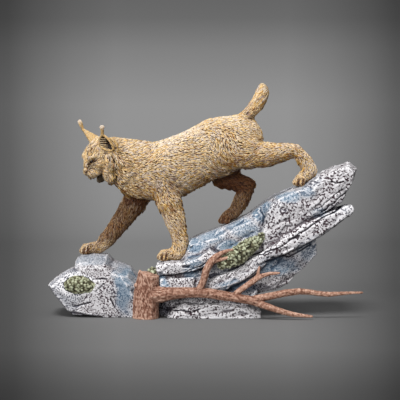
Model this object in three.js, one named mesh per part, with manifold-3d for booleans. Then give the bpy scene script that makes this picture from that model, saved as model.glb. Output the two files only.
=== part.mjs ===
// Painted resin statuette, about one sixth of life size: a lynx steps down a slab of rock, with a broken stump, a dead
// branch and moss at its foot. Millimetres, +Z up. The lynx faces -X and its left side faces -Y. The origin is the
// middle of the bounding box at the level of the flat base.
import * as THREE from "three";
import { mergeVertices } from "three/addons/utils/BufferGeometryUtils.js";
import Module from "manifold-3d";

const wasm = await Module();
wasm.setup();

// Driving dimensions
const GAP = 0.3; // between pieces that touch
const TRACK = 13.5; // from the middle plane to the middle of each forefoot
const HIND_TRACK = 14; // and of each hind foot
const PAW_RADIUS = 6.3; // height of a paw above its sole, at the ball
const HEAD_CENTRE = [-102, -5, 161.5];
const HEAD_YAW = 35; // degrees, turned to its left
const HEAD_PITCH = 30; // degrees, looking down
const HEAD_ROLL = 8; // degrees, left ear lower
const EYE_RADIUS = 2.3;
const EYE_PLACE = [10.9, 5.5, 0.9]; // forward, to the left and up from the head's centre
const EAR_HALF_WIDTH = 6.6;
const EAR_DEPTH = 4.8;
const EAR_THICKNESS = 1.2;
const STUMP = { x: -52, y: -37, radius: 12, height: 44 };
const FLOOR = [0, 0, 3.6];
const UP = [0, 0, 1];
const DEGREE = Math.PI / 180;

const vec = (p) => new THREE.Vector3(...p);
const { clamp, lerp } = THREE.MathUtils;

// Smooth noise in space, about -1 to 1, the same on each run
function noise(x, y, z) {
  const corner = (i, j, k) => {
    const h = Math.sin(i * 127.1 + j * 311.7 + k * 74.7) * 43758.5453;
    return 2 * (h - Math.floor(h)) - 1;
  };
  const ease = (t) => t * t * (3 - 2 * t);
  const [i, j, k] = [x, y, z].map(Math.floor);
  const [u, v, w] = [ease(x - i), ease(y - j), ease(z - k)];
  const line = (b, c) => lerp(corner(i, b, c), corner(i + 1, b, c), u);
  return lerp(lerp(line(j, k), line(j + 1, k), v), lerp(line(j, k + 1), line(j + 1, k + 1), v), w);
}

// Numbers from 0 to 1, the same on each run for the same seed
function draws(seed) {
  let state = seed;
  return () => {
    state = (state * 1664525 + 1013904223) % 4294967296;
    return state / 4294967296;
  };
}

// A closed geometry as a solid, with its faces turned outwards
function solidOf(geometry) {
  const bare = new THREE.BufferGeometry().setAttribute("position", geometry.getAttribute("position"));
  if (geometry.index) bare.setIndex(geometry.index);
  const merged = mergeVertices(bare, 1e-4);
  const triVerts = new Uint32Array(merged.index.array);
  const vertProperties = new Float32Array(merged.attributes.position.array);
  const make = () => new wasm.Manifold(new wasm.Mesh({ numProp: 3, vertProperties, triVerts }));
  const made = make();
  if (made.volume() > 0) return made;
  for (let i = 0; i < triVerts.length; i += 3) {
    [triVerts[i + 1], triVerts[i + 2]] = [triVerts[i + 2], triVerts[i + 1]];
  }
  return make();
}

function geometryOf(solid) {
  const mesh = solid.getMesh();
  const geometry = new THREE.BufferGeometry();
  geometry.setAttribute("position", new THREE.BufferAttribute(mesh.vertProperties, 3));
  geometry.setIndex(new THREE.BufferAttribute(mesh.triVerts, 1));
  geometry.computeVertexNormals();
  return geometry;
}

const joined = (solids) => solids.reduce((all, solid) => all.add(solid));
const largest = (solid) => solid.decompose().reduce((best, s) => (s.volume() > best.volume() ? s : best));

// Rows of points as one closed surface, with a single point before the first row and after the last
function closedRows(first, rows, last) {
  const sides = rows[0].length;
  const points = [first, ...rows.flat(), last];
  const end = points.length - 1;
  const index = [];
  const at = (row, side) => 1 + row * sides + (side % sides);
  for (let s = 0; s < sides; s++) {
    index.push(0, at(0, s + 1), at(0, s), end, at(rows.length - 1, s), at(rows.length - 1, s + 1));
    for (let r = 0; r + 1 < rows.length; r++) {
      index.push(at(r, s), at(r, s + 1), at(r + 1, s + 1), at(r, s), at(r + 1, s + 1), at(r + 1, s));
    }
  }
  const geometry = new THREE.BufferGeometry().setFromPoints(points);
  geometry.setIndex(index);
  return geometry;
}

// A mass is a cone with round ends, from one point to another. Squeeze makes it thinner along X, Y and Z by that much.
const mass = (from, fromRadius, to = from, toRadius = fromRadius, squeeze = [1, 1, 1]) => ({
  from: vec(from), along: vec(to).sub(vec(from)), fromRadius, toRadius, squeeze: vec(squeeze),
});

// Masses along a line of [x, y, z, radius] points
const chain = (points, squeeze) =>
  points.slice(1).map((q, i) => mass(points[i].slice(0, 3), points[i][3], q.slice(0, 3), q[3], squeeze));

const bothSides = (make) => [make(1), make(-1)];

// Distance from the surface of masses that run into one another over the width soften, below 0 inside
function fieldOf(masses, soften) {
  const off = new THREE.Vector3();
  return (p) => {
    let total = Infinity;
    for (const m of masses) {
      const length2 = m.along.lengthSq();
      off.copy(p).sub(m.from);
      const t = length2 ? clamp(off.dot(m.along) / length2, 0, 1) : 0;
      const d = off.addScaledVector(m.along, -t).multiply(m.squeeze).length() - lerp(m.fromRadius, m.toRadius, t);
      const overlap = Math.max(soften - Math.abs(d - total), 0) / soften;
      total = Math.min(d, total) - (overlap * overlap * soften) / 4;
    }
    return total;
  };
}

// A smooth skin round masses. Lines are sent out from a spine inside it, square to it along its length and fanned out
// round its ends, and end where they leave the masses. Relief raises the surface. Place moves the whole.
function skin({ masses, soften = 3, spine, rings = 1, sides, tips = 3, up = UP, relief = () => 0, place }) {
  const field = fieldOf(masses, soften);
  const points = spine.map(vec);
  const curve = points.length > 1 ? new THREE.CatmullRomCurve3(points) : null;
  const cap = tips + 1;
  const lastRow = 2 * cap + rings - 1;
  const move = place ?? new THREE.Matrix4();

  function ray(row, angle) {
    const share = rings > 1 ? clamp((row - cap) / (rings - 1), 0, 1) : 0;
    const tilt = row < cap ? row / cap - 1 : row > lastRow - cap ? 1 - (lastRow - row) / cap : 0;
    const axis = curve ? curve.getTangent(share) : new THREE.Vector3(1, 0, 0);
    const side = new THREE.Vector3().crossVectors(axis, vec(up)).normalize();
    const top = new THREE.Vector3().crossVectors(side, axis);
    const out = top.multiplyScalar(Math.cos(angle)).addScaledVector(side, Math.sin(angle));
    const lean = tilt * 90 * DEGREE;
    const direction = out.multiplyScalar(Math.cos(lean)).addScaledVector(axis, Math.sin(lean));
    return { origin: curve ? curve.getPoint(share) : points[0].clone(), direction, axis };
  }

  function surface(row, angle, inflate) {
    const { origin, direction, axis } = ray(row, angle);
    const p = new THREE.Vector3();
    const at = (t) => field(p.copy(origin).addScaledVector(direction, t)) - inflate;
    let near = 0;
    let far = 0;
    while (at(far) < 0) {
      near = far;
      far += 0.2 + 0.6 * Math.abs(at(far));
    }
    for (let i = 0; i < 12; i++) {
      const middle = (near + far) / 2;
      if (at(middle) < 0) near = middle;
      else far = middle;
    }
    at(far);
    p.addScaledVector(direction, relief(p, direction));
    return { point: p, axis, direction };
  }

  return {
    field,
    solid(inflate = 0) {
      const row = (r) => Array.from({ length: sides }, (_, s) => surface(r, (s * 360 * DEGREE) / sides, inflate).point);
      const rows = Array.from({ length: lastRow - 1 }, (_, r) => row(r + 1));
      const geometry = closedRows(surface(0, 0, inflate).point, rows, surface(lastRow, 0, inflate).point);
      return solidOf(geometry.applyMatrix4(move));
    },
    // Where a line at this share of the rows and this angle in degrees leaves the skin, with the way out and along
    at(share, degrees) {
      const { point, axis } = surface(share * lastRow, degrees * DEGREE, 0);
      const step = 0.2;
      const slope = (d) => field(point.clone().add(d)) - field(point.clone().sub(d));
      const normal = vec([slope(vec([step, 0, 0])), slope(vec([0, step, 0])), slope(vec([0, 0, step]))]).normalize();
      const along = axis.clone().addScaledVector(normal, -axis.dot(normal)).normalize();
      return {
        point: point.applyMatrix4(move),
        normal: normal.transformDirection(move),
        along: along.transformDirection(move),
      };
    },
  };
}

// A large block that lies beyond a plane through point, on the side that normal points to
function block(point, normal, grow = 0) {
  const size = 900;
  const n = vec(normal).normalize();
  const turn = new THREE.Quaternion().setFromUnitVectors(vec(UP), n);
  const geometry = new THREE.BoxGeometry(size, size, size).translate(0, 0, size / 2).applyQuaternion(turn);
  return solidOf(geometry.translate(...vec(point).addScaledVector(n, -grow).toArray()));
}

// The space beyond all of these planes, which may be grown
const region = (...planes) => (grow = 0) =>
  planes.map(([point, normal]) => block(point, normal, grow)).reduce((all, one) => all.intersect(one));

// Parts one solid by thin cuts. Each region takes its share in turn, and rest names what is left.
function parted(whole, regions, rest) {
  const pieces = {};
  let left = whole;
  for (const [name, space] of Object.entries(regions)) {
    pieces[name] = largest(left.intersect(space()));
    left = left.subtract(space(GAP));
  }
  pieces[rest] = largest(left);
  return pieces;
}

// The head's own frame: X forward, Y to the left and Z up, with its origin in the middle of the skull
function headFrame() {
  const turn = new THREE.Matrix4().makeRotationZ((180 + HEAD_YAW) * DEGREE);
  turn.multiply(new THREE.Matrix4().makeRotationY(HEAD_PITCH * DEGREE));
  turn.multiply(new THREE.Matrix4().makeRotationX(-HEAD_ROLL * DEGREE));
  return turn.setPosition(vec(HEAD_CENTRE));
}
const HEAD = headFrame();
const inHead = (p) => vec(p).applyMatrix4(HEAD).toArray();
const headWay = (p) => vec(p).transformDirection(HEAD).toArray();

const headSkin = skin({
  masses: [
    mass([-5, 0, 1.5], 14.2, [2, 0, 2], 11.4),
    mass([7.5, 0, 3], 6.4, [14.6, 0, -3.4], 3.8),
    mass([8, 0, -5.5], 8, [13, 0, -8.6], 6.4),
    mass([17.2, 0, -6], 2.7),
    mass([-4, 0, -9], 9),
    ...bothSides((s) => mass([8.6, s * 5, 4.4], 3.5)),
    ...bothSides((s) => mass([7.5, s * 5, -11.2], 4.8, [12.6, s * 4, -11.2], 4.6)),
    ...bothSides((s) => mass([3.5, s * 8, -5], 7.4)),
    ...bothSides((s) => mass([-11, s * 8, 8.6], 6, [-12, s * 11, 10.6], 3.8)),
  ],
  soften: 2, spine: [[-8, 0, 0], [2, 0, -1], [8, 0, -4], [13, 0, -7]], rings: 8, sides: 20, tips: 3, place: HEAD,
});

// Cheek ruffs, which widen the face and hang behind the jaw
const ruffSkins = bothSides((s) =>
  skin({
    masses: chain([[-9, s * 11, 0, 9.4], [-5, s * 14.6, -9, 9.8], [3, s * 14, -17, 6.6], [7, s * 12.5, -21.5, 3]],
      [1, 1.12, 1]),
    spine: [[-9, s * 11, 0], [-5, s * 14, -9], [3, s * 13.6, -17]], rings: 5, sides: 10, tips: 2, place: HEAD,
  }));

const jawSkin = skin({
  masses: chain([[-4, 0, -17, 5], [1, 0, -21, 4.4], [6, 0, -24, 3.3]], [1, 0.9, 1.25]),
  spine: [[-4, 0, -17], [6, 0, -24]], rings: 3, sides: 10, tips: 1, place: HEAD,
});

const neckSkin = skin({
  masses: [mass([-54, 0, 149], 27.5, [-90, -2, 161], 19.5, [1, 1.3, 1]), mass([-66, 0, 135], 14.5, [-82, -2, 150], 14)],
  spine: [[-50, 0, 149], [-74, -1, 155], [-90, -3, 158]], rings: 6, sides: 18, tips: 1,
});

const torsoSkin = skin({
  masses: [
    mass([-60, 0, 146], 25, [-20, 0, 152], 28.6, [1, 1.3, 1]),
    mass([-20, 0, 152], 28.6, [18, 0, 170], 29, [1, 1.38, 1]),
    mass([18, 0, 170], 29, [39, 0, 179], 24.5, [1, 1.22, 1]),
    mass([-68, 0, 134], 14, [-36, 0, 130], 15),
    mass([-40, -12, 148], 18, [-33, -TRACK, 124], 14.5, [1, 1.4, 1]),
    mass([-46, 12, 146], 18, [-62, TRACK, 121], 14, [1, 1.4, 1]),
    mass([30, -10, 172], 23, [50, -13, 164], 18, [1, 1.4, 1]),
    mass([32, 10, 170], 23, [26, 13, 150], 15, [1, 1.4, 1]),
  ],
  soften: 5, spine: [[-56, 0, 144], [-20, 0, 151], [16, 0, 168], [38, 0, 177]], rings: 13, sides: 20, tips: 2,
});

const tailSkin = skin({
  masses: chain([[38, -1, 192, 8], [49, -2, 203, 7], [56.5, -3, 212, 7.6], [61.5, -3, 221, 7.6],
    [62, -3, 228, 5.6], [60.6, -3, 232.6, 2]], [1, 1.1, 1]),
  spine: [[42, -1, 196], [49, -2, 203], [56.5, -3, 212], [61.5, -3, 221], [62, -3, 228.5]],
  rings: 7, sides: 11, tips: 2, up: [0, 1, 0],
});

// A leg of [x, y, z, radius] points
const leg = (points, rings, sides = 12) =>
  skin({
    masses: chain(points, [1, 1.15, 1]), spine: points.map((p) => p.slice(0, 3)), rings, sides, tips: 1, up: [0, 1, 0],
  });

const legs = {
  foreLeft: leg([[-36, -11, 138, 12], [-31, -TRACK, 117, 14], [-24.5, -TRACK, 97, 11.6], [-19.5, -TRACK, 77, 8.8],
    [-20.5, -TRACK, 67, 7.6]], 9, 13),
  foreRight: leg([[-52, 11, 136, 12], [-66, TRACK, 115, 13.2], [-80, TRACK, 94.5, 10.8], [-93, TRACK, 78, 8.6],
    [-100, TRACK, 69.5, 7]], 8, 12),
  hindLeft: leg([[46, -10, 165, 14], [62, -HIND_TRACK, 162.5, 14], [70, -HIND_TRACK, 163.2, 12],
    [82, -HIND_TRACK, 165, 10], [94, -HIND_TRACK, 167.3, 7.6]], 7),
  hockLeft: leg([[94, -HIND_TRACK, 167, 7.6], [103, -HIND_TRACK, 157, 7.4], [110, -HIND_TRACK, 147, 7]], 5),
  thighRight: leg([[31, 9, 164, 13], [26, 12, 150, 12.5], [20.5, HIND_TRACK, 137.5, 9.8]], 4, 10),
  shankRight: leg([[20, HIND_TRACK, 137, 9.7], [36, HIND_TRACK, 135.5, 10], [49, HIND_TRACK, 132, 8.6]], 5, 10),
  hockRight: leg([[49, HIND_TRACK, 132, 8.6], [41.5, HIND_TRACK, 116, 8.2], [37, HIND_TRACK, 106, 7]], 5, 10),
};

// Each paw stands at the middle of its sole, turned to face -X, with its toes tilted down the slope by some degrees
const PAWS = {
  foreLeft: { at: [-29, -TRACK, 57.2], slope: 0, length: 13.5 },
  foreRight: { at: [-109, TRACK, 61], slope: 0, length: 12.5 },
  hindLeft: { at: [106.5, -HIND_TRACK, 136], slope: 33, length: 11 },
  hindRight: { at: [32.5, HIND_TRACK, 95.3], slope: 25, length: 12 },
};

// A paw in its own frame, X towards the toes, resting on Z = 0: a heel, a ball and four toes side by side
function pawSkin({ at, slope, length }) {
  const place = new THREE.Matrix4().makeRotationZ(180 * DEGREE);
  place.premultiply(new THREE.Matrix4().makeRotationY(-slope * DEGREE)).setPosition(vec(at));
  const toe = (y, reach, radius) =>
    mass([length * 0.25, y, 6.2], radius, [length * 0.5 + reach, y * 1.12, 4.1], radius, [1, 1.06, 1]);
  return {
    skin: skin({
      masses: [
        mass([-length * 0.45, 0, PAW_RADIUS + 0.8], 7.2, [length * 0.2, 0, PAW_RADIUS], PAW_RADIUS),
        toe(2.3, 2.4, 4.1), toe(-2.3, 2.4, 4.1), toe(6, -0.4, 3.7), toe(-6, -0.4, 3.7),
      ],
      soften: 1.3, spine: [[-3, 0, 5.5], [length * 0.25, 0, 5]], rings: 2, sides: 17, tips: 3, place,
    }),
    under: (grow) => block(at, [Math.sin(slope * DEGREE), 0, -Math.cos(slope * DEGREE)], -grow),
  };
}
const paws = Object.fromEntries(Object.entries(PAWS).map(([name, paw]) => [name, pawSkin(paw)]));
const pawSolid = (paw, grow = 0) => paw.skin.solid(grow).subtract(paw.under(grow));

// Each ear from its root to its tip, the way its cup opens, and the round end of its tuft
const EARS = {
  left: {
    root: [-89.8, -21.5, 163.5], tip: [-95.8, -20.5, 182.2], opening: [-0.35, -0.93, 0], tuft: [-94.4, -19.5, 188.8],
  },
  right: {
    root: [-105.5, 9, 170.5], tip: [-117, 11.5, 188.4], opening: [-0.8, 0.45, -0.3], tuft: [-120, 12, 195],
  },
};

// An ear as a leaf of even thickness, bent to a cup, whose lower end is sunk in the head
function earLeaf({ root, tip, opening }) {
  const axis = vec(tip).sub(vec(root));
  const length = axis.length();
  axis.normalize();
  const out = vec(opening);
  out.addScaledVector(axis, -out.dot(axis)).normalize();
  const across = new THREE.Vector3().crossVectors(out, axis);
  const frame = new THREE.Matrix4().makeBasis(across, out, axis).setPosition(vec(root));
  const [steps, sides, halfFan] = [6, 6, 104 * DEGREE];
  const sheet = (inset) => {
    const points = [];
    for (let i = 0; i <= steps; i++) {
      const share = i / steps;
      const taper = Math.pow(Math.sin(Math.PI * lerp(0.28, 0.97, share)), 0.8);
      for (let j = 0; j <= sides; j++) {
        const fan = (2 * j / sides - 1) * halfFan;
        const x = (EAR_HALF_WIDTH * taper - inset) * Math.sin(fan);
        const y = (inset - EAR_DEPTH * taper) * Math.cos(fan);
        points.push(vec([x, y, share * length]));
      }
    }
    return points;
  };
  const points = [...sheet(0), ...sheet(EAR_THICKNESS)];
  const columns = sides + 1;
  const inner = points.length / 2;
  const index = [];
  const quad = (a, b, c, d) => index.push(a, b, c, a, c, d);
  for (let i = 0; i < steps; i++) {
    for (let j = 0; j < sides; j++) {
      const k = i * columns + j;
      quad(k, k + 1, k + 1 + columns, k + columns);
      quad(inner + k, inner + k + columns, inner + k + 1 + columns, inner + k + 1);
    }
    const left = i * columns;
    const right = left + sides;
    quad(left, left + columns, inner + left + columns, inner + left);
    quad(right, inner + right, inner + right + columns, right + columns);
  }
  for (let j = 0; j < sides; j++) {
    const end = steps * columns + j;
    quad(j, inner + j, inner + j + 1, j + 1);
    quad(end, end + 1, inner + end + 1, inner + end);
  }
  const geometry = new THREE.BufferGeometry().setFromPoints(points);
  geometry.setIndex(index);
  return solidOf(geometry.applyMatrix4(frame));
}

// The tuft is narrow where it leaves the ear and broad near its round end, and flat from front to back
function earTuft({ root, tip, tuft }) {
  const start = vec(tip).lerp(vec(root), 0.12).toArray();
  const neck = vec(tip).lerp(vec(tuft), 0.45).toArray();
  return skin({
    masses: chain([[...start, 1.4], [...neck, 1.2], [...tuft, 2.5]], [1, 1.2, 1]),
    soften: 1, spine: [start, neck, tuft], rings: 4, sides: 7, tips: 1, up: [0, 1, 0],
  }).solid();
}

const mirrored = ([x, y, z], side) => [x, side * y, z];
const eyeSolid = (side, grow = 0) => {
  const ball = new THREE.SphereGeometry(EYE_RADIUS + grow, 8, 6);
  return solidOf(ball.translate(...mirrored(EYE_PLACE, side)).applyMatrix4(HEAD));
};

// Upper and lower lids: two short ridges that bend round the front of the eye
function lidSolids(side) {
  const [x, y, z] = EYE_PLACE;
  const ridge = (rise, thick) => {
    const points = [[x - 1.2, y + 2.9, z + rise * 0.3, thick], [x + 1.5, y + 1.5, z + rise * 2, thick],
      [x + 2.6, y - 0.8, z + rise * 1.7, thick], [x + 2.6, y - 2.8, z - 0.6, thick]];
    const placed = points.map(([px, py, pz, r]) => [px, side * py, pz, r]);
    return skin({
      masses: chain(placed), soften: 0.4, spine: placed.map((p) => p.slice(0, 3)), rings: 4, sides: 4, tips: 0,
      place: HEAD,
    }).solid();
  };
  return [ridge(1, 0.85), ridge(-1, 0.7)];
}

const nostrils = bothSides((s) => {
  const cut = new THREE.SphereGeometry(0.8, 6, 4).scale(1.4, 1, 0.7);
  return solidOf(cut.translate(19.3, s * 1.25, -6.8).applyMatrix4(HEAD));
});

// A flat lock of hair that starts under the surface and lifts from it towards its tip
function lock({ point, normal }, flow, length, width) {
  const along = flow.clone().addScaledVector(normal, -flow.dot(normal)).normalize();
  const across = new THREE.Vector3().crossVectors(normal, along);
  const at = (share, lift) => point.clone().addScaledVector(along, share * length).addScaledVector(normal, lift);
  const section = (share, lift, half, thick) =>
    [[half, 0], [0, thick], [-half, 0], [0, -thick]].map(([a, b]) =>
      at(share, lift).addScaledVector(across, a * width).addScaledVector(normal, b));
  const rows = [section(0, -0.5, 0.38, 1.2), section(0.4, 0.2, 0.5, 1.3), section(0.75, 0.8, 0.34, 0.9)];
  return solidOf(closedRows(at(-0.2, -1.8), rows, at(1, 1)));
}

// Locks over part of a skin: rows at these shares of it, each with count locks between two angles in degrees. Flow is
// the way they lie, and is turned to the other side of the body with mirror.
function coat(over, { shares, angles, count, flow, length = 9, width = 4.5, seed = 1, mirror = false }) {
  const draw = draws(seed);
  const locks = [];
  for (const [i, share] of shares.entries()) {
    for (let j = 0; j < count; j++) {
      const angle = lerp(angles[0], angles[1], (j + 0.5 * (i % 2) + 0.3 * draw()) / count);
      const way = vec(flow).add(vec([draw(), draw(), draw()]).subScalar(0.5).multiplyScalar(0.35));
      if (mirror) way.y = -way.y;
      const size = 0.85 + 0.3 * draw();
      const hit = over.at(share + 0.012 * (draw() - 0.5), mirror ? -angle : angle);
      locks.push(lock(hit, way, length * size, width * size));
    }
  }
  return locks;
}
const pair = (over, options) => [...coat(over, options), ...coat(over, { ...options, mirror: true })];

function locksOfLynx() {
  const [chest, backOfLeg] = [[0.7, 0, -0.8], [0.4, 0, -1]];
  const neckRows = { shares: [0.45, 0.62], angles: [120, 172], count: 2, flow: chest, length: 12, seed: 5 };
  const chestRows = { shares: [0.1, 0.17], angles: [110, 175], count: 3, flow: chest, length: 12, seed: 6 };
  const sideRows = { shares: [0.25, 0.5], angles: [60, 110], count: 2, flow: [1, 0, -0.5], length: 12, seed: 7 };
  const bellyRows = { shares: [0.5, 0.58, 0.66], angles: [128, 165], count: 2, flow: [0.9, 0, -0.6], seed: 8 };
  const rumpRows = { shares: [0.9], angles: [60, 130], count: 2, flow: [0.6, 0, -0.9], seed: 9 };
  const tailRows = { shares: [0.36, 0.52], angles: [120, 240], count: 2, flow: [0.4, 0, 0.9], length: 8, seed: 10 };
  const tailTip = { shares: [0.66], angles: [0, 360], count: 4, flow: [-0.1, 0, 1], length: 5, width: 4, seed: 11 };
  const hanging = [0.3, -0.2, -1];
  const nearRuff = { shares: [0.35, 0.55, 0.75], angles: [235, 330], count: 2, flow: hanging, length: 8, seed: 3 };
  const farRuff = { shares: [0.4, 0.7], angles: [30, 125], count: 2, flow: hanging, seed: 4 };
  const elbow = { shares: [0.34, 0.5, 0.66], angles: [250, 320], count: 1, flow: backOfLeg, seed: 12 };
  const wrist = { shares: [0.75], angles: [250, 320], count: 2, flow: [0.5, 0, -1], length: 6.5, seed: 14 };
  const hock = { shares: [0.4, 0.6], angles: [230, 290], count: 1, flow: [0.1, 0, -1], length: 7, width: 4, seed: 16 };
  return [
    ...coat(ruffSkins[0], nearRuff), ...coat(ruffSkins[1], farRuff),
    ...pair(neckSkin, neckRows), ...coat(neckSkin, sideRows),
    ...pair(torsoSkin, chestRows), ...coat(torsoSkin, bellyRows), ...pair(torsoSkin, rumpRows),
    ...coat(tailSkin, tailRows), ...coat(tailSkin, tailTip),
    ...coat(legs.foreLeft, elbow), ...coat(legs.foreRight, elbow),
    ...coat(legs.foreRight, wrist), ...coat(legs.foreLeft, { ...wrist, count: 1 }), ...coat(legs.hockRight, hock),
  ];
}

function earPiece(ear) {
  const skull = joined([headSkin, ...ruffSkins, neckSkin].map((one) => one.solid(GAP)));
  return joined([earLeaf(ear), earTuft(ear)]).subtract(skull);
}

function wholeLynx() {
  const flesh = [
    headSkin.solid(), ...ruffSkins.map((one) => one.solid()), neckSkin.solid(), torsoSkin.solid(), tailSkin.solid(),
    ...Object.values(legs).map((one) => one.solid()),
    ...Object.values(paws).map((paw) => pawSolid(paw)),
    ...bothSides(lidSolids).flat(),
    ...locksOfLynx(),
  ];
  const hollows = [jawSkin.solid(GAP), ...bothSides((s) => eyeSolid(s, GAP)), ...nostrils];
  return joined(flesh).subtract(joined(hollows));
}

// Where each part of the body begins: planes, each by a point on it and the way into the part
const ABOVE_CHEST = [[0, 0, 125], UP];
const LEFT = [[0, 0, 0], [0, -1, 0]];
const RIGHT = [[0, 1, 0], [0, 1, 0]];
const BODY_REGIONS = {
  nose: region([inHead([17.2, 0, -5]), headWay([1, 0, 0.15])], ABOVE_CHEST),
  head: region([[-85, 0, 157], [-0.93, -0.35, 0.1]], ABOVE_CHEST),
  tail: region([[51, 0, 205], [0.6, 0, 0.8]], [[0, 0, 190], UP]),
  forepaw_left: region([[-20, 0, 70], [-0.2, 0, -1]], LEFT),
  foreleg_left: region([[-35, -6, 117], [0, -0.75, -0.66]], [[-50, 0, 115], [0.9, 0, -0.4]], [[0, 0, 0], [-1, 0, 0]]),
  forepaw_right: region([[-98, 0, 72], [-0.75, 0, -0.66]], [[0, 0, 95], [0, 0, -1]]),
  foreleg_right: region([[-62, 7, 118], [-0.35, 0.65, -0.67]], [[-35, 0, 0], [-1, 0, 0]], RIGHT),
  hindpaw_left: region([[98, 0, 162.5], [0.61, 0, -0.79]], [[86, 0, 0], [1, 0, 0]]),
  shank_left: region([[64, 0, 163], [1, 0, 0.05]], [[64, -3, 170], [0, -0.7, -0.7]]),
  hindpaw_right: region(
    [[46, 0, 124], [-0.45, 0, -0.9]], [[30, 0, 121], [0.3, 0, -0.95]], RIGHT, [[8, 0, 0], [1, 0, 0]],
  ),
  shank_right: region([[22, 0, 143], [0.25, 0, -0.97]], RIGHT, [[10, 0, 0], [1, 0, 0]]),
  thigh_left: region([[38, -6, 160], [0, -0.95, -0.31]], [[8, -15, 150], [0.9, -0.3, -0.3]]),
  thigh_right: region([[30, 5, 155], [0, 0.95, -0.31]], [[8, 15, 150], [0.9, 0.3, -0.3]]),
  neck: region([[-66, 0, 152], [-0.94, 0, 0.35]]),
};

// A rock from its side outline of [x, z] points and slices of [y, shrink, lift], near side first
function boulder(outline, slices, rough = 1.1, grain = 8) {
  const middle = outline.reduce((sum, [x, z]) => sum.add(vec([x, 0, z])), new THREE.Vector3());
  middle.divideScalar(outline.length);
  const rows = slices.map(([y, shrink = 0, lift = 0]) =>
    outline.map(([x, z]) => {
      const p = vec([x, 0, z]).lerp(middle, shrink).add(vec([0, y, lift]));
      const bump = (seed) => rough * noise(p.x / grain + seed, p.y / grain, p.z / grain);
      return p.add(vec([bump(0), bump(31), bump(67)]));
    }));
  const end = ([y, , lift = 0], way) => middle.clone().add(vec([0, y + way, lift]));
  return solidOf(closedRows(end(slices[0], -0.6), rows, end(slices[slices.length - 1], 0.6)));
}

const ROCKS = [
  // Front: the broad foot of the boulder with its pointed left end, and the block on it that carries the far forepaw
  boulder([[-151, 34], [-141, 43], [-131, 49], [-122, 51], [-108, 51], [-92, 48], [-78, 43], [-66, 36], [-59, 26],
    [-56, 10], [-55, -4], [-90, -4], [-124, -4], [-129, 3], [-134, 11], [-140, 19], [-147, 27]],
  [[-36, 0.4], [-33, 0.12], [-20, 0.02], [20, 0.04], [29, 0.34]]),
  boulder([[-124, 58], [-119, 61.5], [-105, 63], [-93, 62], [-88, 56], [-80, 53.5], [-70, 49], [-61, 38], [-64, 28],
    [-84, 34], [-104, 38], [-120, 45]],
  [[-34, 0.3, -6], [-29, 0.04, -5], [-8, 0, -1], [14, 0], [26, 0.08], [31, 0.35]], 0.9),
  // The low rock behind the stump that joins the front to the slab
  boulder([[-74, 24], [-60, 35], [-46, 38], [-30, 36], [-18, 28], [-18, -4], [-74, -4]],
    [[-24, 0.3], [-20, 0.05], [24, 0], [31, 0.3]]),
  // The slab, from its low end on the left to its high end on the right
  boulder([[-34, 42], [-16, 66], [-12, 76.5], [0, 81], [12, 86], [22, 90], [35, 95.5], [47, 102], [56, 108], [66, 115],
    [76, 122], [92, 129], [112, 139.5], [135, 151], [146, 154], [150, 142], [140, 120], [120, 101], [98, 84],
    [70, 62], [40, 42], [10, 29], [-20, 26]],
  [[-26, 0.3, -3], [-22, 0.05, -4], [-14, 0, -0.5], [28, 0.03], [36, 0.3]]),
  boulder([[60, 104], [66, 115], [76, 122.5], [92, 129], [102, 133], [112, 139.5], [120, 145.5], [135, 151.5],
    [147, 156], [154, 149], [152, 139], [145, 127], [141, 117], [122, 107], [100, 94], [85, 81], [70, 66], [58, 62],
    [57, 82]],
  [[-39, 0.4, -2], [-36, 0.1, -1], [-18, 0], [18, 0.2]]),
  // The band under it, which ends in a tongue on the right
  boulder([[148, 113.5], [151, 109], [148, 105.5], [130, 92], [117, 83], [103, 76], [90, 70.5], [76, 63], [62, 58.5],
    [45, 50], [42, 57], [68, 74], [97, 94], [127, 107.5], [141, 113]],
  [[-44, 0.22], [-41, 0.03], [-12, 0], [2, 0.2]], 0.8),
  boulder([[1, 28], [20, 29], [36, 36], [52, 45], [66, 57], [58, 62], [38, 54], [14, 44], [2, 36]],
    [[-43, 0.3], [-40, 0.05], [-10, 0], [4, 0.2]], 0.9),
  // The ledge that carries the near forepaw, with the block below it
  boulder([[-43, 54], [-34, 57.5], [-16, 58.5], [0, 64.5], [10, 71], [18, 66], [12, 58], [0, 51], [-20, 47], [-36, 45],
    [-43, 49]],
  [[-45, 0.2, -1], [-42, 0.03], [-20, 0], [4, 0], [12, 0.2]], 0.8),
  boulder([[-42, 48], [-16, 49], [4, 50], [12, 40], [4, 28], [-10, 25], [-30, 24], [-42, 25]],
    [[-40, 0.25], [-37, 0.04], [0, 0], [16, 0.1]], 0.9),
  // The dark rock under the slab, which stands on the flat foot
  boulder([[-26, 44], [20, 58], [60, 72], [100, 84], [115, 82], [116, 66], [105, 54], [96, 46], [87, 37], [76, 30],
    [58, 25], [44, 10], [10, 8], [-22, 10]],
  [[-33, 0.35], [-29, 0.06], [0, 0], [26, 0.06], [33, 0.3]], 1.5),
  boulder([[-33, 6], [-27, 13], [-15, 17.5], [8, 19], [32, 17.5], [48, 14], [60, 7], [63, -4], [-33, -4]],
    [[-43, 0.22], [-39, 0.03], [-8, 0], [30, 0.03], [41, 0.3]], 0.9),
];

const wholeRock = () => joined(ROCKS).subtract(block(FLOOR, [0, 0, -1]));
const ROCK_REGIONS = {
  rock_front: region([[-60, 0, 0], [-1, 0, 0]]),
  rock_foot: region([[0, 0, 17.5], [0, 0, -1]]),
};

// Bark: ridges that run along the wood
const bark = (depth, grain) => (p, way) => depth * noise(way.x * 3.2 + 7, way.y * 3.2, way.z * 3.2 + p.x / grain);

// Wood of [x, y, z, radius] points that tapers to its end
const wood = (points, rings, sides = 7, depth = 0.4) =>
  skin({
    masses: chain(points), soften: 1.5, spine: points.map((p) => p.slice(0, 3)), rings, sides, tips: 0,
    up: [0.1, 1, 0.1], relief: bark(depth, 14),
  });

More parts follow.
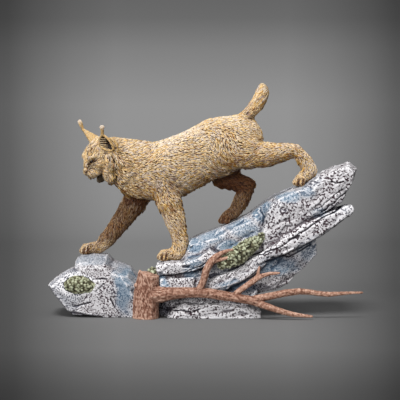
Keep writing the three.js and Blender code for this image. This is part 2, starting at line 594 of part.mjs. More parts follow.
const { x: SX, y: SY, radius: SR, height: SH } = STUMP;
const stumpSkin = skin({
  masses: chain([[SX - 0.5, SY, -4, SR + 1], [SX, SY, 24, SR], [SX + 2.6, SY, SH + 6, SR - 2.4]]),
  spine: [[SX - 0.5, SY, -4], [SX, SY, 24], [SX + 2.6, SY, SH + 6]], rings: 6, sides: 14, tips: 0,
  up: [0, 1, 0], relief: bark(0.9, 60),
});
const WOOD = {
  branch_main: [wood([[-46, -40, 27, 9.5], [-35.8, -43, 27.5, 7.2], [-25, -46, 28.8, 5.4], [-7.7, -48, 29.9, 4.9],
    [7.7, -48, 29.4, 4.8], [23, -48, 26.5, 4.5], [40.5, -48, 24, 4.3], [54, -48, 21.4, 4.2]], 11, 8)],
  branch_long: [wood([[48, -48, 22.6, 3.6], [67.5, -47, 26.4, 3.6], [82, -46, 29.2, 3.2], [99.5, -45, 31.2, 2.9],
    [111, -44, 28.8, 2.5], [126, -43, 27.2, 2.2], [140.5, -42, 28.7, 1.8], [157.5, -41, 29.1, 0.8]], 11)],
  branch_low: [wood([[48, -48, 22.2, 3.5], [63.5, -49, 17, 3.4], [78, -50, 11.8, 2.8], [92.5, -50, 8.4, 2.1],
    [108, -50, 6.9, 1.1]], 8)],
  branch_upper: [
    wood([[-2.9, -48, 29.4, 3.5], [2.9, -49, 39.2, 3.5], [5.8, -49, 50.8, 3.4], [9.6, -49, 58.5, 3.7],
      [15.4, -48, 64.7, 2.9], [23, -47, 69.4, 2], [34.5, -45, 71.7, 0.8]], 10),
    wood([[10.6, -49, 59.5, 2.3], [20.2, -48, 61.8, 1.7], [36.5, -46, 66.2, 0.8]], 4, 6),
  ],
  branch_middle: [
    wood([[31, -48, 25.6, 2.9], [41.4, -48, 34.3, 2.8], [50, -48, 40.1, 2.8], [56, -47, 44.3, 2.4],
      [64.6, -46, 47.8, 1.9], [77, -46, 48.6, 0.9]], 8),
    wood([[54, -47, 42.9, 2], [56.3, -47, 49, 1.6], [57.2, -47, 55, 0.9]], 4, 6),
  ],
};

// The stump and its branches, joined in one and parted where each begins. The top of the stump is broken off uneven.
const WOOD_REGIONS = {
  stump: region([[-40, 0, 0], [-1, 0, 0.1]]),
  branch_upper: region([[0, 0, 34], [0.1, 0, 1]], [[33, 0, 36], [-0.97, 0, 0.24]]),
  branch_middle: region([[35, 0, 29], [0.3, 0, 1]], [[62, 0, 36], [-0.3, 0, 1]]),
  branch_long: region([[56, 0, 21.5], [-0.05, 0, 1]], [[56, 0, 0], [1, 0, 0]]),
  branch_low: region([[56, 0, 0], [1, 0, 0]]),
};
function stumpTop() {
  const right = block([SX - 5, 0, SH + 2.5], [0.46, 0.1, 1]).intersect(block([SX + 3.5, 0, SH - 1.4], [0.2, -0.1, 1]));
  return right.add(block([SX - 5, 0, SH + 2.5], [-2.4, 0.3, 1]));
}
function wholeWood() {
  const branches = Object.values(WOOD).flat().map((one) => one.solid());
  const knot = new THREE.SphereGeometry(2.6, 8, 6).translate(SX - SR + 2.6, SY - 4, 36);
  return joined([stumpSkin.solid().subtract(stumpTop()), solidOf(knot), ...branches])
    .subtract(block(FLOOR, [0, 0, -1]));
}

// Moss: a cushion of [x, y, z, radius] points with knobs close together
const moss = (points, sides, tips, rings = 1) =>
  skin({
    masses: points.length > 1 ? chain(points) : [mass(points[0].slice(0, 3), points[0][3])],
    spine: points.map((p) => p.slice(0, 3)), rings, sides, tips,
    relief: (p) => 0.9 * noise(p.x / 2.6, p.y / 2.6, p.z / 2.6),
  });
const MOSS = {
  moss_front: moss([[-132, -29, 34, 6], [-120, -31, 36, 9.5], [-107, -31, 34.5, 7]], 12, 2, 4),
  moss_slab: moss([[23, -41, 58, 6.5], [35, -42, 65, 8], [48, -41, 73.5, 7], [58, -39, 82, 4.5]], 10, 2, 6),
  moss_back: moss([[-45, -16, 43, 8]], 10, 3),
};

// Materials: one for each paint
const paint = (color, roughness = 0.8) => new THREE.MeshStandardMaterial({ color, roughness, metalness: 0 });
const COAT = paint(0xb08a55);
const SKIN_DARK = paint(0x3a2a1c, 0.7);
const EYE = paint(0x15100a, 0.3);
const ROCK = paint(0xb9bcc4, 0.9);
const WOOD_PAINT = paint(0x9c6a50, 0.85);
const MOSS_PAINT = paint(0x8a9068, 0.9);

function named(name, solid, material) {
  const mesh = new THREE.Mesh(geometryOf(largest(solid)), material);
  mesh.name = name;
  return mesh;
}

function statuette() {
  const body = parted(wholeLynx(), BODY_REGIONS, "torso");
  const woods = parted(wholeWood(), WOOD_REGIONS, "branch_main");
  const grownWood = joined([stumpSkin, ...Object.values(WOOD).flat()].map((one) => one.solid(GAP)));
  const grownMoss = joined(Object.values(MOSS).map((one) => one.solid(GAP)));
  const grownFeet = joined([
    ...Object.values(paws).map((paw) => pawSolid(paw, GAP)),
    ...Object.values(legs).map((one) => one.solid(GAP)),
  ]);
  const rocks = parted(wholeRock().subtract(joined([grownWood, grownFeet])), ROCK_REGIONS, "rock_slab");
  const model = new THREE.Group();
  const nodes = [
    ...Object.entries(body).map(([name, solid]) => named(name, solid, name === "nose" ? SKIN_DARK : COAT)),
    named("jaw", jawSkin.solid(), COAT),
    ...Object.entries(EARS).map(([side, ear]) => named(`ear_${side}`, earPiece(ear), COAT)),
    ...[["left", 1], ["right", -1]].map(([name, side]) => named(`eye_${name}`, eyeSolid(side), EYE)),
    ...Object.entries(rocks).map(([name, solid]) => named(name, solid.subtract(grownMoss), ROCK)),
    ...Object.entries(woods).map(([name, solid]) => named(name, solid, WOOD_PAINT)),
    ...Object.entries(MOSS).map(([name, one]) => named(name, one.solid().subtract(grownWood), MOSS_PAINT)),
  ];
  model.add(...nodes);
  const box = new THREE.Box3().setFromObject(model);
  const middle = box.getCenter(new THREE.Vector3());
  model.position.set(-middle.x, -middle.y, -box.min.z);
  return model;
}

export default statuette();
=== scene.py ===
"""Looks of a painted resin statuette: a lynx that steps down a slab of rock, with a stump, a branch and moss.

Lengths are millimetres in the part's own frame until a mesh is made, which is in metres. The camera looks
along +Y.
"""
import math

import bpy
import numpy as np
import openvdb as vdb
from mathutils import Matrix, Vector


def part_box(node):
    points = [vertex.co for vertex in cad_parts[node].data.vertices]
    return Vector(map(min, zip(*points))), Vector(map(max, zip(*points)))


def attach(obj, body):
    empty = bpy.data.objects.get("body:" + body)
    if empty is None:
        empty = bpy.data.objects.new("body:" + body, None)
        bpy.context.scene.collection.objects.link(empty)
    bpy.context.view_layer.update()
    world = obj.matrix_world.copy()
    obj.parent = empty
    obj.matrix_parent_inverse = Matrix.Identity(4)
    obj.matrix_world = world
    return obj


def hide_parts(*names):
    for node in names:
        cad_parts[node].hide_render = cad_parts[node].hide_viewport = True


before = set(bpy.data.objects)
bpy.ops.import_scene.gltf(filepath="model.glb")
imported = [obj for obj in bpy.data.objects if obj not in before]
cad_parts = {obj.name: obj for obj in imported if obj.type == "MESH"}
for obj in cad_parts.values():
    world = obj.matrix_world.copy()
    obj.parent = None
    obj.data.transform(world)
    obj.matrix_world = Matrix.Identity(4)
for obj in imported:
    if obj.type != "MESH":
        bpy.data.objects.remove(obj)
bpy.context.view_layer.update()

MM = 0.001
# Room round the nodes on a grid of distances
GRID_MARGIN = 2.0

# Photograph: the point of the model in its middle, and the camera that took it
PHOTO_AIM = np.array([-4.1, 5.7, 113.4])
CAMERA_DISTANCE = 1200.0
CAMERA_ELEVATION = 2.5
CAMERA_LENS = 108.0

# Soft lights: where each comes from, how wide it is in degrees, and its power
SUNS = (
    ("top", (-0.15, -0.5, 1.0), 20, 2.2),
    ("front", (-0.45, -1.0, 0.3), 45, 1.95),
)
SKY_POWER = 0.37

SKIN_STEP = 0.62
SKIN_BAND = 6
COAT_DEPTH = 0.35
FLESH = [
    "head", "jaw", "nose", "neck", "torso", "tail", "foreleg_left", "forepaw_left", "foreleg_right",
    "forepaw_right", "thigh_left", "shank_left", "hindpaw_left", "thigh_right", "shank_right",
    "hindpaw_right",
]
ROCKS = ["rock_slab", "rock_front", "rock_foot"]
WOODS = ["stump", "branch_main", "branch_long", "branch_low", "branch_upper", "branch_middle"]
MOSSES = ["moss_front", "moss_slab", "moss_back"]
EYES = ["eye_left", "eye_right"]

# The coat on each node: the way its middle runs and the steps it is followed in; its fine locks' length,
# width, thickness and the share of the thickness by which their tips stand out; the share of its surface that
# carries large locks as well; how far the skin lies inside the solid, whose locks are coarse; how far the
# locks slant back; and the dark on its inner side, partly a wash of paint and partly painted shade
COAT = {
    "neck": ((1.0, 0.0, -0.25), 3, (5.6, 1.5, 1.0, 0.8), 0.9, 0.5, 0.0, 0.0),
    "torso": ((1.0, 0.0, 0.25), 8, (4.4, 1.35, 0.8, 0.6), 0.25, 0.75, 0.0, 0.0),
    "tail": ((0.5, 0.0, 0.85), 4, (6.6, 1.5, 0.95, 0.7), 1.0, 1.7, 0.0, 0.0),
    "foreleg_left": ((0.2, 0.0, -1.0), 5, (4.2, 1.3, 0.75, 0.6), 0.55, 2.2, 0.42, 0.45),
    "forepaw_left": ((-1.0, 0.0, -0.2), 3, (2.0, 1.0, 0.34, 0.3), 0.0, 0.4, 0.0, 0.0),
    "foreleg_right": ((-0.62, 0.0, -0.78), 5, (4.2, 1.3, 0.75, 0.6), 0.55, 1.6, 0.3, 0.75),
    "forepaw_right": ((-1.0, 0.0, -0.2), 3, (2.0, 1.0, 0.34, 0.3), 0.0, 0.4, 0.0, 0.1),
    "thigh_left": ((0.75, 0.0, -0.65), 4, (4.0, 1.4, 0.8, 0.6), 0.45, 1.2, 0.35, 0.6),
    "shank_left": ((1.0, 0.0, 0.05), 4, (3.8, 1.3, 0.7, 0.55), 0.5, 1.7, 0.0, 0.3),
    "hindpaw_left": ((0.35, 0.0, -1.0), 4, (2.2, 1.0, 0.36, 0.3), 0.1, 0.5, 0.0, 0.0),
    "thigh_right": ((-0.1, 0.0, -1.0), 4, (4.0, 1.4, 0.8, 0.6), 0.45, 1.0, 0.35, 1.0),
    "shank_right": ((1.0, 0.0, -0.1), 4, (3.8, 1.3, 0.7, 0.55), 0.5, 1.3, 0.0, 1.0),
    "hindpaw_right": ((-0.45, 0.0, -1.0), 4, (2.2, 1.0, 0.36, 0.3), 0.1, 0.5, 0.0, 0.75),
    "head": ((0.8, 0.25, 0.35), 3, (4.3, 1.2, 0.75, 0.7), 0.0, 0.2, 0.0, 0.0),
}
LOCKS, SHAGGY, SINK, SLANT, INNER_WASH_AND_SHADE = ({name: row[k] for name, row in COAT.items()} for k in range(2, 7))
LARGE_LOCKS = {name: (7.4, 2.2, 0.85, 0.9) for name in COAT}
LARGE_LOCKS.update(tail=(9.5, 2.1, 0.8, 0.8), neck=(8.2, 2.4, 0.95, 0.9))
FINE_SPACING = 1.04
LARGE_SPACING = 2.5
# Share of their size that the locks of the face have
FACE_SHARE = 0.92
PIECE_TRIANGLES = 190000
# Large locks fringe the belly above the first of these heights, and the rump below the second
BELLY_FLOOR = 105
TAIL_ROOT = 185
# Width of a lock's patch on the flat map
PATCH = 0.003

# A lock's section from its left edge over the top to its right edge: place across, height and crest paint
FINE_SECTION = ((-1.0, -0.5, 0.0), (-0.28, 0.7, 1.1), (0.28, 0.7, 1.1), (1.0, -0.5, 0.0))
LARGE_SECTION = (
    (-1.0, -0.4, 0.05), (-0.66, 0.45, 0.9), (-0.38, 0.2, 0.25), (0.0, 0.75, 1.0), (0.38, 0.2, 0.25),
    (0.66, 0.45, 0.9), (1.0, -0.4, 0.05), (0.0, -0.9, 0.0),
)
# Along a lock: how far along, and its width, height and rise there
LOCK_ROWS = ((0.03, 0.45, 0.5, -0.45), (0.36, 1.0, 1.0, 0.1), (0.72, 0.6, 0.8, 0.7))
LOCK_TIP_RISE = 1.0

# The head's own directions, from the middle of the skull: towards the nose, to its left, and up. All places
# on the head are given in them, and those of pairs for its left side
HEAD_MIDDLE = (-106.1, 0.66, 157.9)
HEAD_WAYS = ((-0.709, -0.497, -0.5), (0.625, -0.771, -0.121), (-0.326, -0.398, 0.858))
HEAD_STEP = 0.36
HEAD_BAND = 13
EYE = (10.9, 5.5, 0.9)
EYE_RADIUS = 2.3
TEAR_LINE = ((12.4, 3.7, -0.7), (15.6, 2.9, -2.7))
NOSE = (19.4, 0.0, -6.0)
NOSTRIL = (19.4, 2.0, -7.7)
# Bumps and hollows of the face: how far they stand out, their middles and half widths
FACE_RELIEF = (
    (1.3, (10.2, 7.4, 4.6), (3.2, 3.6, 1.5)),
    (0.7, (15.0, 0.0, 0.2), (4.5, 1.6, 4.5)),
    (-1.4, (13.4, 3.8, -1.0), (2.6, 1.4, 2.2)),
    (-0.9, (9.6, 8.0, -0.6), (2.6, 2.2, 1.5)),
    (1.2, (6.8, 12.0, -3.0), (3.6, 3.4, 2.4)),
    (-1.0, (14.6, 6.6, -4.4), (3.0, 1.7, 2.2)),
    (-0.9, (6.0, 0.0, 11.0), (6.0, 0.9, 5.0)),
    (-0.7, (8.0, 4.4, 9.6), (6.0, 0.8, 5.0)),
    (0.5, (7.0, 2.6, 10.0), (6.0, 1.2, 5.0)),
    (-1.2, (10.5, 11.0, -9.0), (3.2, 2.6, 3.4)),
    (-1.0, (3.2, 17.0, -5.0), (2.4, 4.0, 5.0)),
)
# The pads of whiskers and lips: their middles and radii
FACE_PADS = (
    ((15.2, 4.6, -10.0), (4.2, 3.4, 3.6)), ((14.2, 4.2, -12.9), (3.4, 3.2, 2.9)),
    ((11.6, 6.8, -11.8), (3.0, 2.6, 3.0)),
)
# The two rows of the ruff behind each cheek, how thick their ridges are, and how much longer, wider, thicker
# and more lifted their strands are
RUFF_ROWS = (
    ((-4.5, 19.1, 0.8), (-6.1, 22.0, -3.8), (-6.8, 25.6, -9.2), (-4.1, 26.2, -15.7), (-0.7, 24.2, -19.9),
     (2.2, 18.2, -24.4)),
    ((-0.5, 17.6, -0.6), (-0.4, 21.4, -5.7), (-1.0, 22.3, -14.0), (1.3, 20.5, -17.6), (4.9, 20.0, -19.0)),
)
RUFF_RIDGES = (1.4, 1.0)
RUFF_GROWTH = (0.75, 0.35, 0.6, 0.5)
# The pointed lock that hangs at the front of each ruff: places and thickness
HANGING_LOCK = ((8.2, 16.5, -13.5), (7.8, 16.2, -20.5), (8.0, 17.9, -25.5))
HANGING_RADII = (2.7, 2.0, 0.4)

PAWS = ("forepaw_left", "forepaw_right", "hindpaw_left", "hindpaw_right")
PAW_LENGTH = 12.5
# Toes and the gaps between them, as angles from straight ahead towards the near side
TOES = (-40, -2, 36, 64)
TOE_GAPS = (-21, 19, 53, 77)
# A toe's knuckle and tip and the line of a gap: how far out, as a share of the paw, and how high
TOE_LINE = ((0.6, 8.0), (0.83, 3.6))
TOE_RADII = (3.2, 3.1)
GAP_LINE = ((1.04, 0.5), (1.07, 5.0), (0.96, 9.0))
GAP_RADIUS = 1.05


# Noise

def lattice(i, j, k, seed):
    """Numbers from 0 to 1 at whole-number places, the same on each run."""
    h = i.astype(np.uint32) * np.uint32(374761393) + j.astype(np.uint32) * np.uint32(668265263)
    h = h + k.astype(np.uint32) * np.uint32(2246822519) + np.uint32(seed * 974711 + 12345)
    h = (h ^ (h >> np.uint32(13))) * np.uint32(1274126177)
    h = (h ^ (h >> np.uint32(16))) * np.uint32(2654435769)
    return (h ^ (h >> np.uint32(15))).astype(np.float32) / np.float32(4294967296.0)


def cube_corners(f):
    """The eight corners of a cube, each with how much it counts at these places in the cube."""
    x, y, z = f.T
    for corner in range(8):
        a, b, c = corner & 1, (corner >> 1) & 1, corner >> 2
        yield a, b, c, (x if a else 1 - x) * (y if b else 1 - y) * (z if c else 1 - z)


def noise(points, size, seed=0):
    """Smooth noise from -1 to 1 with features about size across."""
    p = points / np.asarray(size, np.float32)
    low = np.floor(p).astype(np.int64)
    f = (p - low).astype(np.float32)
    f = f * f * (3 - 2 * f)
    total = np.zeros(len(p), np.float32)
    for a, b, c, share in cube_corners(f):
        total += share * lattice(low[:, 0] + a, low[:, 1] + b, low[:, 2] + c, seed)
    return 2 * total - 1


def layered(points, size, layers, seed=0):
    """Noise of several sizes, each half the last, from -1 to 1."""
    sizes = np.asarray(size, np.float32)
    parts = [noise(points, sizes / 2 ** k, seed + 17 * k) / 2 ** k for k in range(layers)]
    return sum(parts) / sum(0.5 ** k for k in range(layers))


def cells(points, size, seed=0):
    """Distances to the two nearest of scattered points, in sizes, the nearest's number and way from it."""
    p = points / np.asarray(size, np.float32)
    low = np.floor(p - 0.5).astype(np.int64)
    near = np.full(len(p), 9.0, np.float32)
    second = near.copy()
    number = np.zeros(len(p), np.float32)
    offset = np.zeros((len(p), 3), np.float32)
    for corner in range(8):
        c = low + np.array([corner & 1, (corner >> 1) & 1, corner >> 2])
        shift = np.stack([lattice(c[:, 0], c[:, 1], c[:, 2], seed + n) for n in range(3)], 1)
        away = (p - c - 0.1 - 0.8 * shift).astype(np.float32)
        d = np.sqrt((away ** 2).sum(1))
        closer = d < near
        second = np.where(closer, near, np.minimum(second, d))
        near = np.where(closer, d, near)
        number = np.where(closer, shift[:, 0], number)
        offset = np.where(closer[:, None], away, offset)
    return near, second, number, offset


def smooth(edge0, edge1, x):
    """0 at the first edge and 1 at the second, with soft ends."""
    t = np.clip((x - edge0) / (edge1 - edge0), 0, 1)
    return t * t * (3 - 2 * t)


def unit(vectors):
    return vectors / np.maximum(np.linalg.norm(vectors, axis=-1, keepdims=True), 1e-9)


def pairs(line):
    """Each two neighbours along a line."""
    return zip(line[:-1], line[1:])


# Solids as distances on a grid

def node_polygons(name):
    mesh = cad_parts[name].data
    points = np.empty(len(mesh.vertices) * 3, np.float32)
    mesh.vertices.foreach_get("co", points)
    mesh.calc_loop_triangles()
    triangles = np.empty(len(mesh.loop_triangles) * 3, np.int32)
    mesh.loop_triangles.foreach_get("vertices", triangles)
    return points.reshape(-1, 3) / MM, triangles.reshape(-1, 3).astype(np.uint32)


def node_box(name):
    low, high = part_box(name)
    return np.array(low) / MM, np.array(high) / MM


class Surface:
    """What can be asked of anything that gives a distance at points."""

    reach = 0.4

    def outward(self, points):
        """The way out of the solid at these points, as unit vectors."""
        slopes = []
        for axis in range(3):
            step = np.zeros(3, np.float32)
            step[axis] = self.reach
            slopes.append(self.at(points + step) - self.at(points - step))
        return unit(np.stack(slopes, 1))

    def drawn_in(self, points, level=0.0):
        """The points moved to where the distance is this level."""
        for _ in range(2):
            points = points - (self.at(points) - level)[:, None] * self.outward(points)
        return points


def poured(values, grid, step):
    """The values, with the grid's smaller ones taken over near its surface."""
    first, last = grid.evalActiveVoxelBoundingBox()
    first, last = np.maximum(first, 0), np.minimum(last, np.array(values.shape) - 1)
    if (last > first).all():
        part = np.empty(last - first + 1, np.float32)
        grid.copyToArray(part, ijk=tuple(int(c) for c in first))
        place = tuple(slice(a, b + 1) for a, b in zip(first, last))
        values[place] = np.minimum(values[place], part * step)
    return values


class Solid(Surface):
    """Distance from a surface on a grid, in millimetres, below 0 inside and known only near the surface."""

    def __init__(self, low, step, values):
        self.low = np.asarray(low, np.float32)
        self.step = step
        self.reach = step
        self.values = values

    @classmethod
    def of_nodes(cls, names, step, band, grown=0.0, within=None):
        """The nodes joined and grown a little, and cut off outside the box whose corners within gives."""
        boxes = [node_box(name) for name in names]
        low = np.min([b[0] for b in boxes], 0) - band * step - GRID_MARGIN
        high = np.max([b[1] for b in boxes], 0) + band * step + GRID_MARGIN
        if within is not None:
            low, high = np.maximum(low, within[0]), np.minimum(high, within[1])
        shape = np.ceil((high - low) / step).astype(int) + 1
        values = np.full(shape, band * step, np.float32)
        for name in names:
            points, triangles = node_polygons(name)
            local = ((points - low) / step).astype(np.float32)
            grid = vdb.FloatGrid.createLevelSetFromPolygons(local, triangles=triangles, halfWidth=float(band))
            poured(values, grid, step)
        return cls(low, step, values - np.float32(grown))

    def blurred(self, sigma):
        """The same solid with its surface smoothed over about sigma millimetres."""
        spread = sigma / self.step
        reach = max(1, int(2.6 * spread + 0.5))
        weights = np.exp(-0.5 * (np.arange(reach + 1) / spread) ** 2)
        weights /= weights[0] + 2 * weights[1:].sum()
        values = self.values
        for axis in range(3):
            total = values * np.float32(weights[0])
            for k in range(1, reach + 1):
                total += np.float32(weights[k]) * (np.roll(values, k, axis) + np.roll(values, -k, axis))
            values = total
        return Solid(self.low, self.step, values)

    def measured(self, band):
        """The same surface with true distances, so that no wall is left inside where two nodes meet."""
        grid = vdb.FloatGrid(float(self.values.max()))
        grid.copyFromArray(self.values)
        points, triangles, quads = grid.convertToPolygons(0.0, 0.0)
        grid = vdb.FloatGrid.createLevelSetFromPolygons(
            points, triangles=triangles, quads=quads, halfWidth=float(band))
        values = np.full(self.values.shape, band * self.step, np.float32)
        return Solid(self.low, self.step, poured(values, grid, self.step))

    def at(self, points):
        p = (points - self.low) / self.step
        p = np.clip(p, 0, np.array(self.values.shape) - 1.001)
        i = p.astype(np.int64)
        total = np.zeros(len(points), np.float32)
        for a, b, c, share in cube_corners((p - i).astype(np.float32)):
            total += share * self.values[i[:, 0] + a, i[:, 1] + b, i[:, 2] + c]
        return total

    def holds(self, points):
        """Whether each point is within the grid."""
        high = self.low + self.step * (np.array(self.values.shape) - 2)
        return ((points > self.low + self.step) & (points < high)).all(1)

    def near_places(self, reach):
        """Index and place of every grid point within reach of the surface."""
        where = np.nonzero(np.abs(self.values) < reach)
        return where, (np.stack(where, 1) * self.step + self.low).astype(np.float32)

    def polygons(self, level=0.0, adaptivity=0.0):
        """The surface as points and four-sided faces, where a triangle repeats its last corner."""
        values = self.values.copy()
        for axis in range(3):
            edge = [slice(None)] * 3
            for end in (0, -1):
                edge[axis] = end
                values[tuple(edge)] = np.maximum(values[tuple(edge)], self.step)
        grid = vdb.FloatGrid(float(values.max()))
        grid.copyFromArray(values)
        points, triangles, quads = grid.convertToPolygons(level, adaptivity)
        points = points * self.step + self.low
        faces = [np.asarray(quads, np.int64).reshape(-1, 4)]
        if len(triangles):
            triangles = np.asarray(triangles, np.int64)
            faces.append(np.concatenate([triangles, triangles[:, 2:]], 1))
        faces = np.concatenate(faces)
        if volume_of(points, faces) < 0:
            faces = faces[:, ::-1].copy()
        return points.astype(np.float32), faces


def volume_of(points, faces):
    a, b, c, d = (points[faces[:, k]].astype(np.float64) for k in range(4))
    return (np.einsum("ij,ij->i", a, np.cross(b, c)) + np.einsum("ij,ij->i", a, np.cross(c, d))).sum() / 6


# Meshes

def piece(name, points, faces, values, uv=None):
    """A mesh object in metres from points in millimetres, with faces in arrays of three or four corners."""
    mesh = bpy.data.meshes.new(name)
    mesh.vertices.add(len(points))
    mesh.vertices.foreach_set("co", (np.asarray(points, np.float64) * MM).astype(np.float32).ravel())
    faces = [group for group in faces if len(group)]
    corners = np.concatenate([group.ravel() for group in faces]).astype(np.int32)
    sides = np.concatenate([np.full(len(group), group.shape[1]) for group in faces])
    mesh.loops.add(len(corners))
    mesh.loops.foreach_set("vertex_index", corners)
    mesh.polygons.add(len(sides))
    mesh.polygons.foreach_set("loop_start", (np.cumsum(sides) - sides).astype(np.int32))
    mesh.update(calc_edges=True)
    mesh.polygons.foreach_set("use_smooth", np.ones(len(sides), bool))
    for label, data in values.items():
        layer = mesh.attributes.new(label, "FLOAT", "POINT")
        layer.data.foreach_set("value", np.asarray(data, np.float32))
    if uv is not None:
        layer = mesh.uv_layers.new(name="OFBake")
        layer.data.foreach_set("uv", uv[corners].astype(np.float32).ravel())
    obj = bpy.data.objects.new(name, mesh)
    bpy.context.scene.collection.objects.link(obj)
    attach(obj, "root")
    return obj


def split_faces(faces):
    """Four-sided faces, and those that repeat a corner as triangles."""
    three = faces[:, 2] == faces[:, 3]
    return [faces[~three], faces[three][:, :3]]


# The lie of the coat

def trail(name, way, steps):
    """Points along the middle of a node, from where the coat or bark starts on it to where it ends."""
    points, _ = node_polygons(name)
    way = unit(np.array(way, np.float32))
    along = points @ way
    edges = np.quantile(along, np.linspace(0.02, 0.98, steps + 1))
    middles = [points[(along >= a) & (along <= b)].mean(0) for a, b in zip(edges[:-1], edges[1:])]
    return np.array(middles)


class Trails:
    """Straight pieces along the middles of nodes."""

    def __init__(self, table):
        starts, ways, names = [], [], []
        for name, (way, steps, *_) in table.items():
            line = trail(name, way, steps)
            first = line[0] - 0.5 * (line[1] - line[0])
            last = line[-1] + 0.5 * (line[-1] - line[-2])
            line = np.concatenate([[first], line[1:-1], [last]]) if steps > 2 else np.array([first, last])
            starts.append(line[:-1])
            ways.append(np.diff(line, axis=0))
            names += [name] * (len(line) - 1)
        self.starts = np.concatenate(starts).astype(np.float32)
        ways = np.concatenate(ways).astype(np.float32)
        self.lengths = np.linalg.norm(ways, axis=1)
        self.ways = unit(ways)
        self.names = names

    def distances(self, points):
        if len(points) > 100000:
            parts = [self.distances(part) for part in np.array_split(points, len(points) // 100000 + 1)]
            return tuple(np.concatenate([p[k] for p in parts]) for k in range(2))
        away = points[:, None, :] - self.starts[None]
        t = np.clip((away * self.ways[None]).sum(2), 0, self.lengths[None])
        return np.linalg.norm(away - t[:, :, None] * self.ways[None], axis=2), t

    def nearest(self, points):
        return np.argmin(self.distances(points)[0], 1)

    def drawn_out(self, points, stretch):
        """The points squeezed along the nearest trail, so that noise on them runs along it."""
        owner = self.nearest(points)
        ways = self.ways[owner]
        along = ((points - self.starts[owner]) * ways).sum(1)
        whole = np.cumsum(self.lengths)[owner] + along
        across = points - self.starts[owner] - along[:, None] * ways
        return across + ways * (whole / stretch)[:, None]


class Lie(Trails):
    """The way the coat lies at any point."""

    def shares(self, points, softness):
        """How much each trail piece counts at the points: 1 for the nearest, and less the farther it is."""
        d, _ = self.distances(points)
        return np.exp(-(d - d.min(1, keepdims=True)) / softness)

    def blend(self, points, table):
        """Numbers that are given for each node, blended at the points by how near the node's trail is."""
        share = self.shares(points, 2.5)
        share /= share.sum(1, keepdims=True)
        rows = np.array([table[name] for name in self.names], np.float32).reshape(len(self.names), -1)
        return (share @ rows).squeeze()

    def flow(self, points, normals):
        share = self.shares(points, 5.0)
        way = unit(share @ self.ways)
        way[:, 0] += share @ np.array([SLANT[name] for name in self.names], np.float32)
        way[:, 2] -= 0.22 * smooth(-0.2, 0.6, np.abs(normals[:, 1]))
        # On the face it runs back from the nose, and on the ruffs it hangs
        from_nose = unit(points - np.mean(node_box("nose"), 0))
        hang = smooth(7.5, 2.5, ruff_distance(head_places(points)))
        face = unit(from_nose + hang[:, None] * np.array([-0.15, 0.2, -2.6]))
        head_low, head_high = node_box("head")
        head_side = smooth(head_high[0] + 2, head_high[0] - 8, points[:, 0])
        head_side *= smooth(head_low[2] - 6, head_low[2] + 4, points[:, 2])
        way = way * (1 - head_side[:, None]) + face * head_side[:, None]
        # Slow swirls
        turn = 0.45 * noise(points, 17, 5) + 0.25 * noise(points, 6.5, 6)
        return along_surface(way + turn[:, None] * np.cross(normals, way), normals)


def along_surface(way, normals):
    return unit(way - (way * normals).sum(1, keepdims=True) * normals)


def unwrap(points, lie):
    """Places on a flat map: each trail piece has a tile of its own, with the way round it up the tile."""
    owner = lie.nearest(points)
    away = points - lie.starts[owner]
    ways = lie.ways[owner]
    along = (away * ways).sum(1)
    out = unit(away - along[:, None] * ways)
    up = unit(np.cross(ways, np.array([0.13, 0.99, 0.08])))
    round_it = np.arctan2((out * np.cross(ways, up)).sum(1), (out * up).sum(1)) / (2 * math.pi) + 0.5
    uv = np.zeros((len(points), 2), np.float32)
    tiles = math.ceil(math.sqrt(len(lie.starts)))
    for k in range(len(lie.starts)):
        mine = owner == k
        if not mine.any():
            continue
        a, b = along[mine].min(), along[mine].max()
        uv[mine, 0] = (k % tiles + 0.04 + 0.92 * (along[mine] - a) / max(b - a, 1e-3)) / tiles
        uv[mine, 1] = (k // tiles + 0.04 + 0.92 * round_it[mine]) / tiles
    return uv


# The lynx's own shape

def ball(points, middle, radii):
    """Rough distance from a ball that may be longer one way than another."""
    radii = np.broadcast_to(np.asarray(radii, np.float32), 3)
    return (np.linalg.norm((points - np.asarray(middle)) / radii, axis=1) - 1) * radii.min()


def rod(points, start, end, radius, end_radius=None):
    """Distance from a rounded rod that may taper."""
    start, end = np.asarray(start, np.float32), np.asarray(end, np.float32)
    way = end - start
    t = np.clip(((points - start) @ way) / (way @ way), 0, 1)
    radii = radius if end_radius is None else radius + (end_radius - radius) * t
    return np.linalg.norm(points - start - t[:, None] * way, axis=1) - radii


def joined(a, b, softness):
    """Two distances joined with a soft crease."""
    h = np.clip(0.5 + 0.5 * (b - a) / softness, 0, 1)
    return b * (1 - h) + a * h - softness * h * (1 - h)


def carved(a, b, softness):
    """The first distance with the second cut out of it."""
    return -joined(-a, b, softness)


def swelling(points, middle, radii):
    """1 in the middle of a soft bump and 0 far from it."""
    return np.exp(-(((points - np.asarray(middle)) / np.asarray(radii)) ** 2).sum(1))


def head_places(points):
    """Places in the head's own directions: forward, left and up from the middle of the skull."""
    return (points - np.array(HEAD_MIDDLE)) @ np.array(HEAD_WAYS).T


def both_sides(h):
    """Places on the head with those of its right side laid over the left's."""
    return np.stack([h[:, 0], np.abs(h[:, 1]), h[:, 2]], 1)


def head_share(points):
    """1 on the head and 0 on the body, with the border behind the cheeks."""
    h = head_places(points)
    return smooth(-13, -9, h[:, 0]) * smooth(-31, -27, h[:, 2])


def eye_opening(h, side):
    """Distance from the almond between the lids, looked at along the eye, and the way the eye looks."""
    looks = unit(np.array([0.83, 0.55 * side, 0.12]))
    corner = unit(np.cross(looks, (0, 0, 1)) * -side + np.array([0, 0, 0.3]))
    above = np.cross(looks, corner) * -side
    above *= np.sign(above[2])
    away = h - np.array([EYE[0], EYE[1] * side, EYE[2]])
    s, t = away @ corner, away @ above
    bow, offset = 2.5, 1.7
    almond = np.maximum(np.hypot(s, t - offset), np.hypot(s, t + offset)) - bow
    return almond, away @ looks


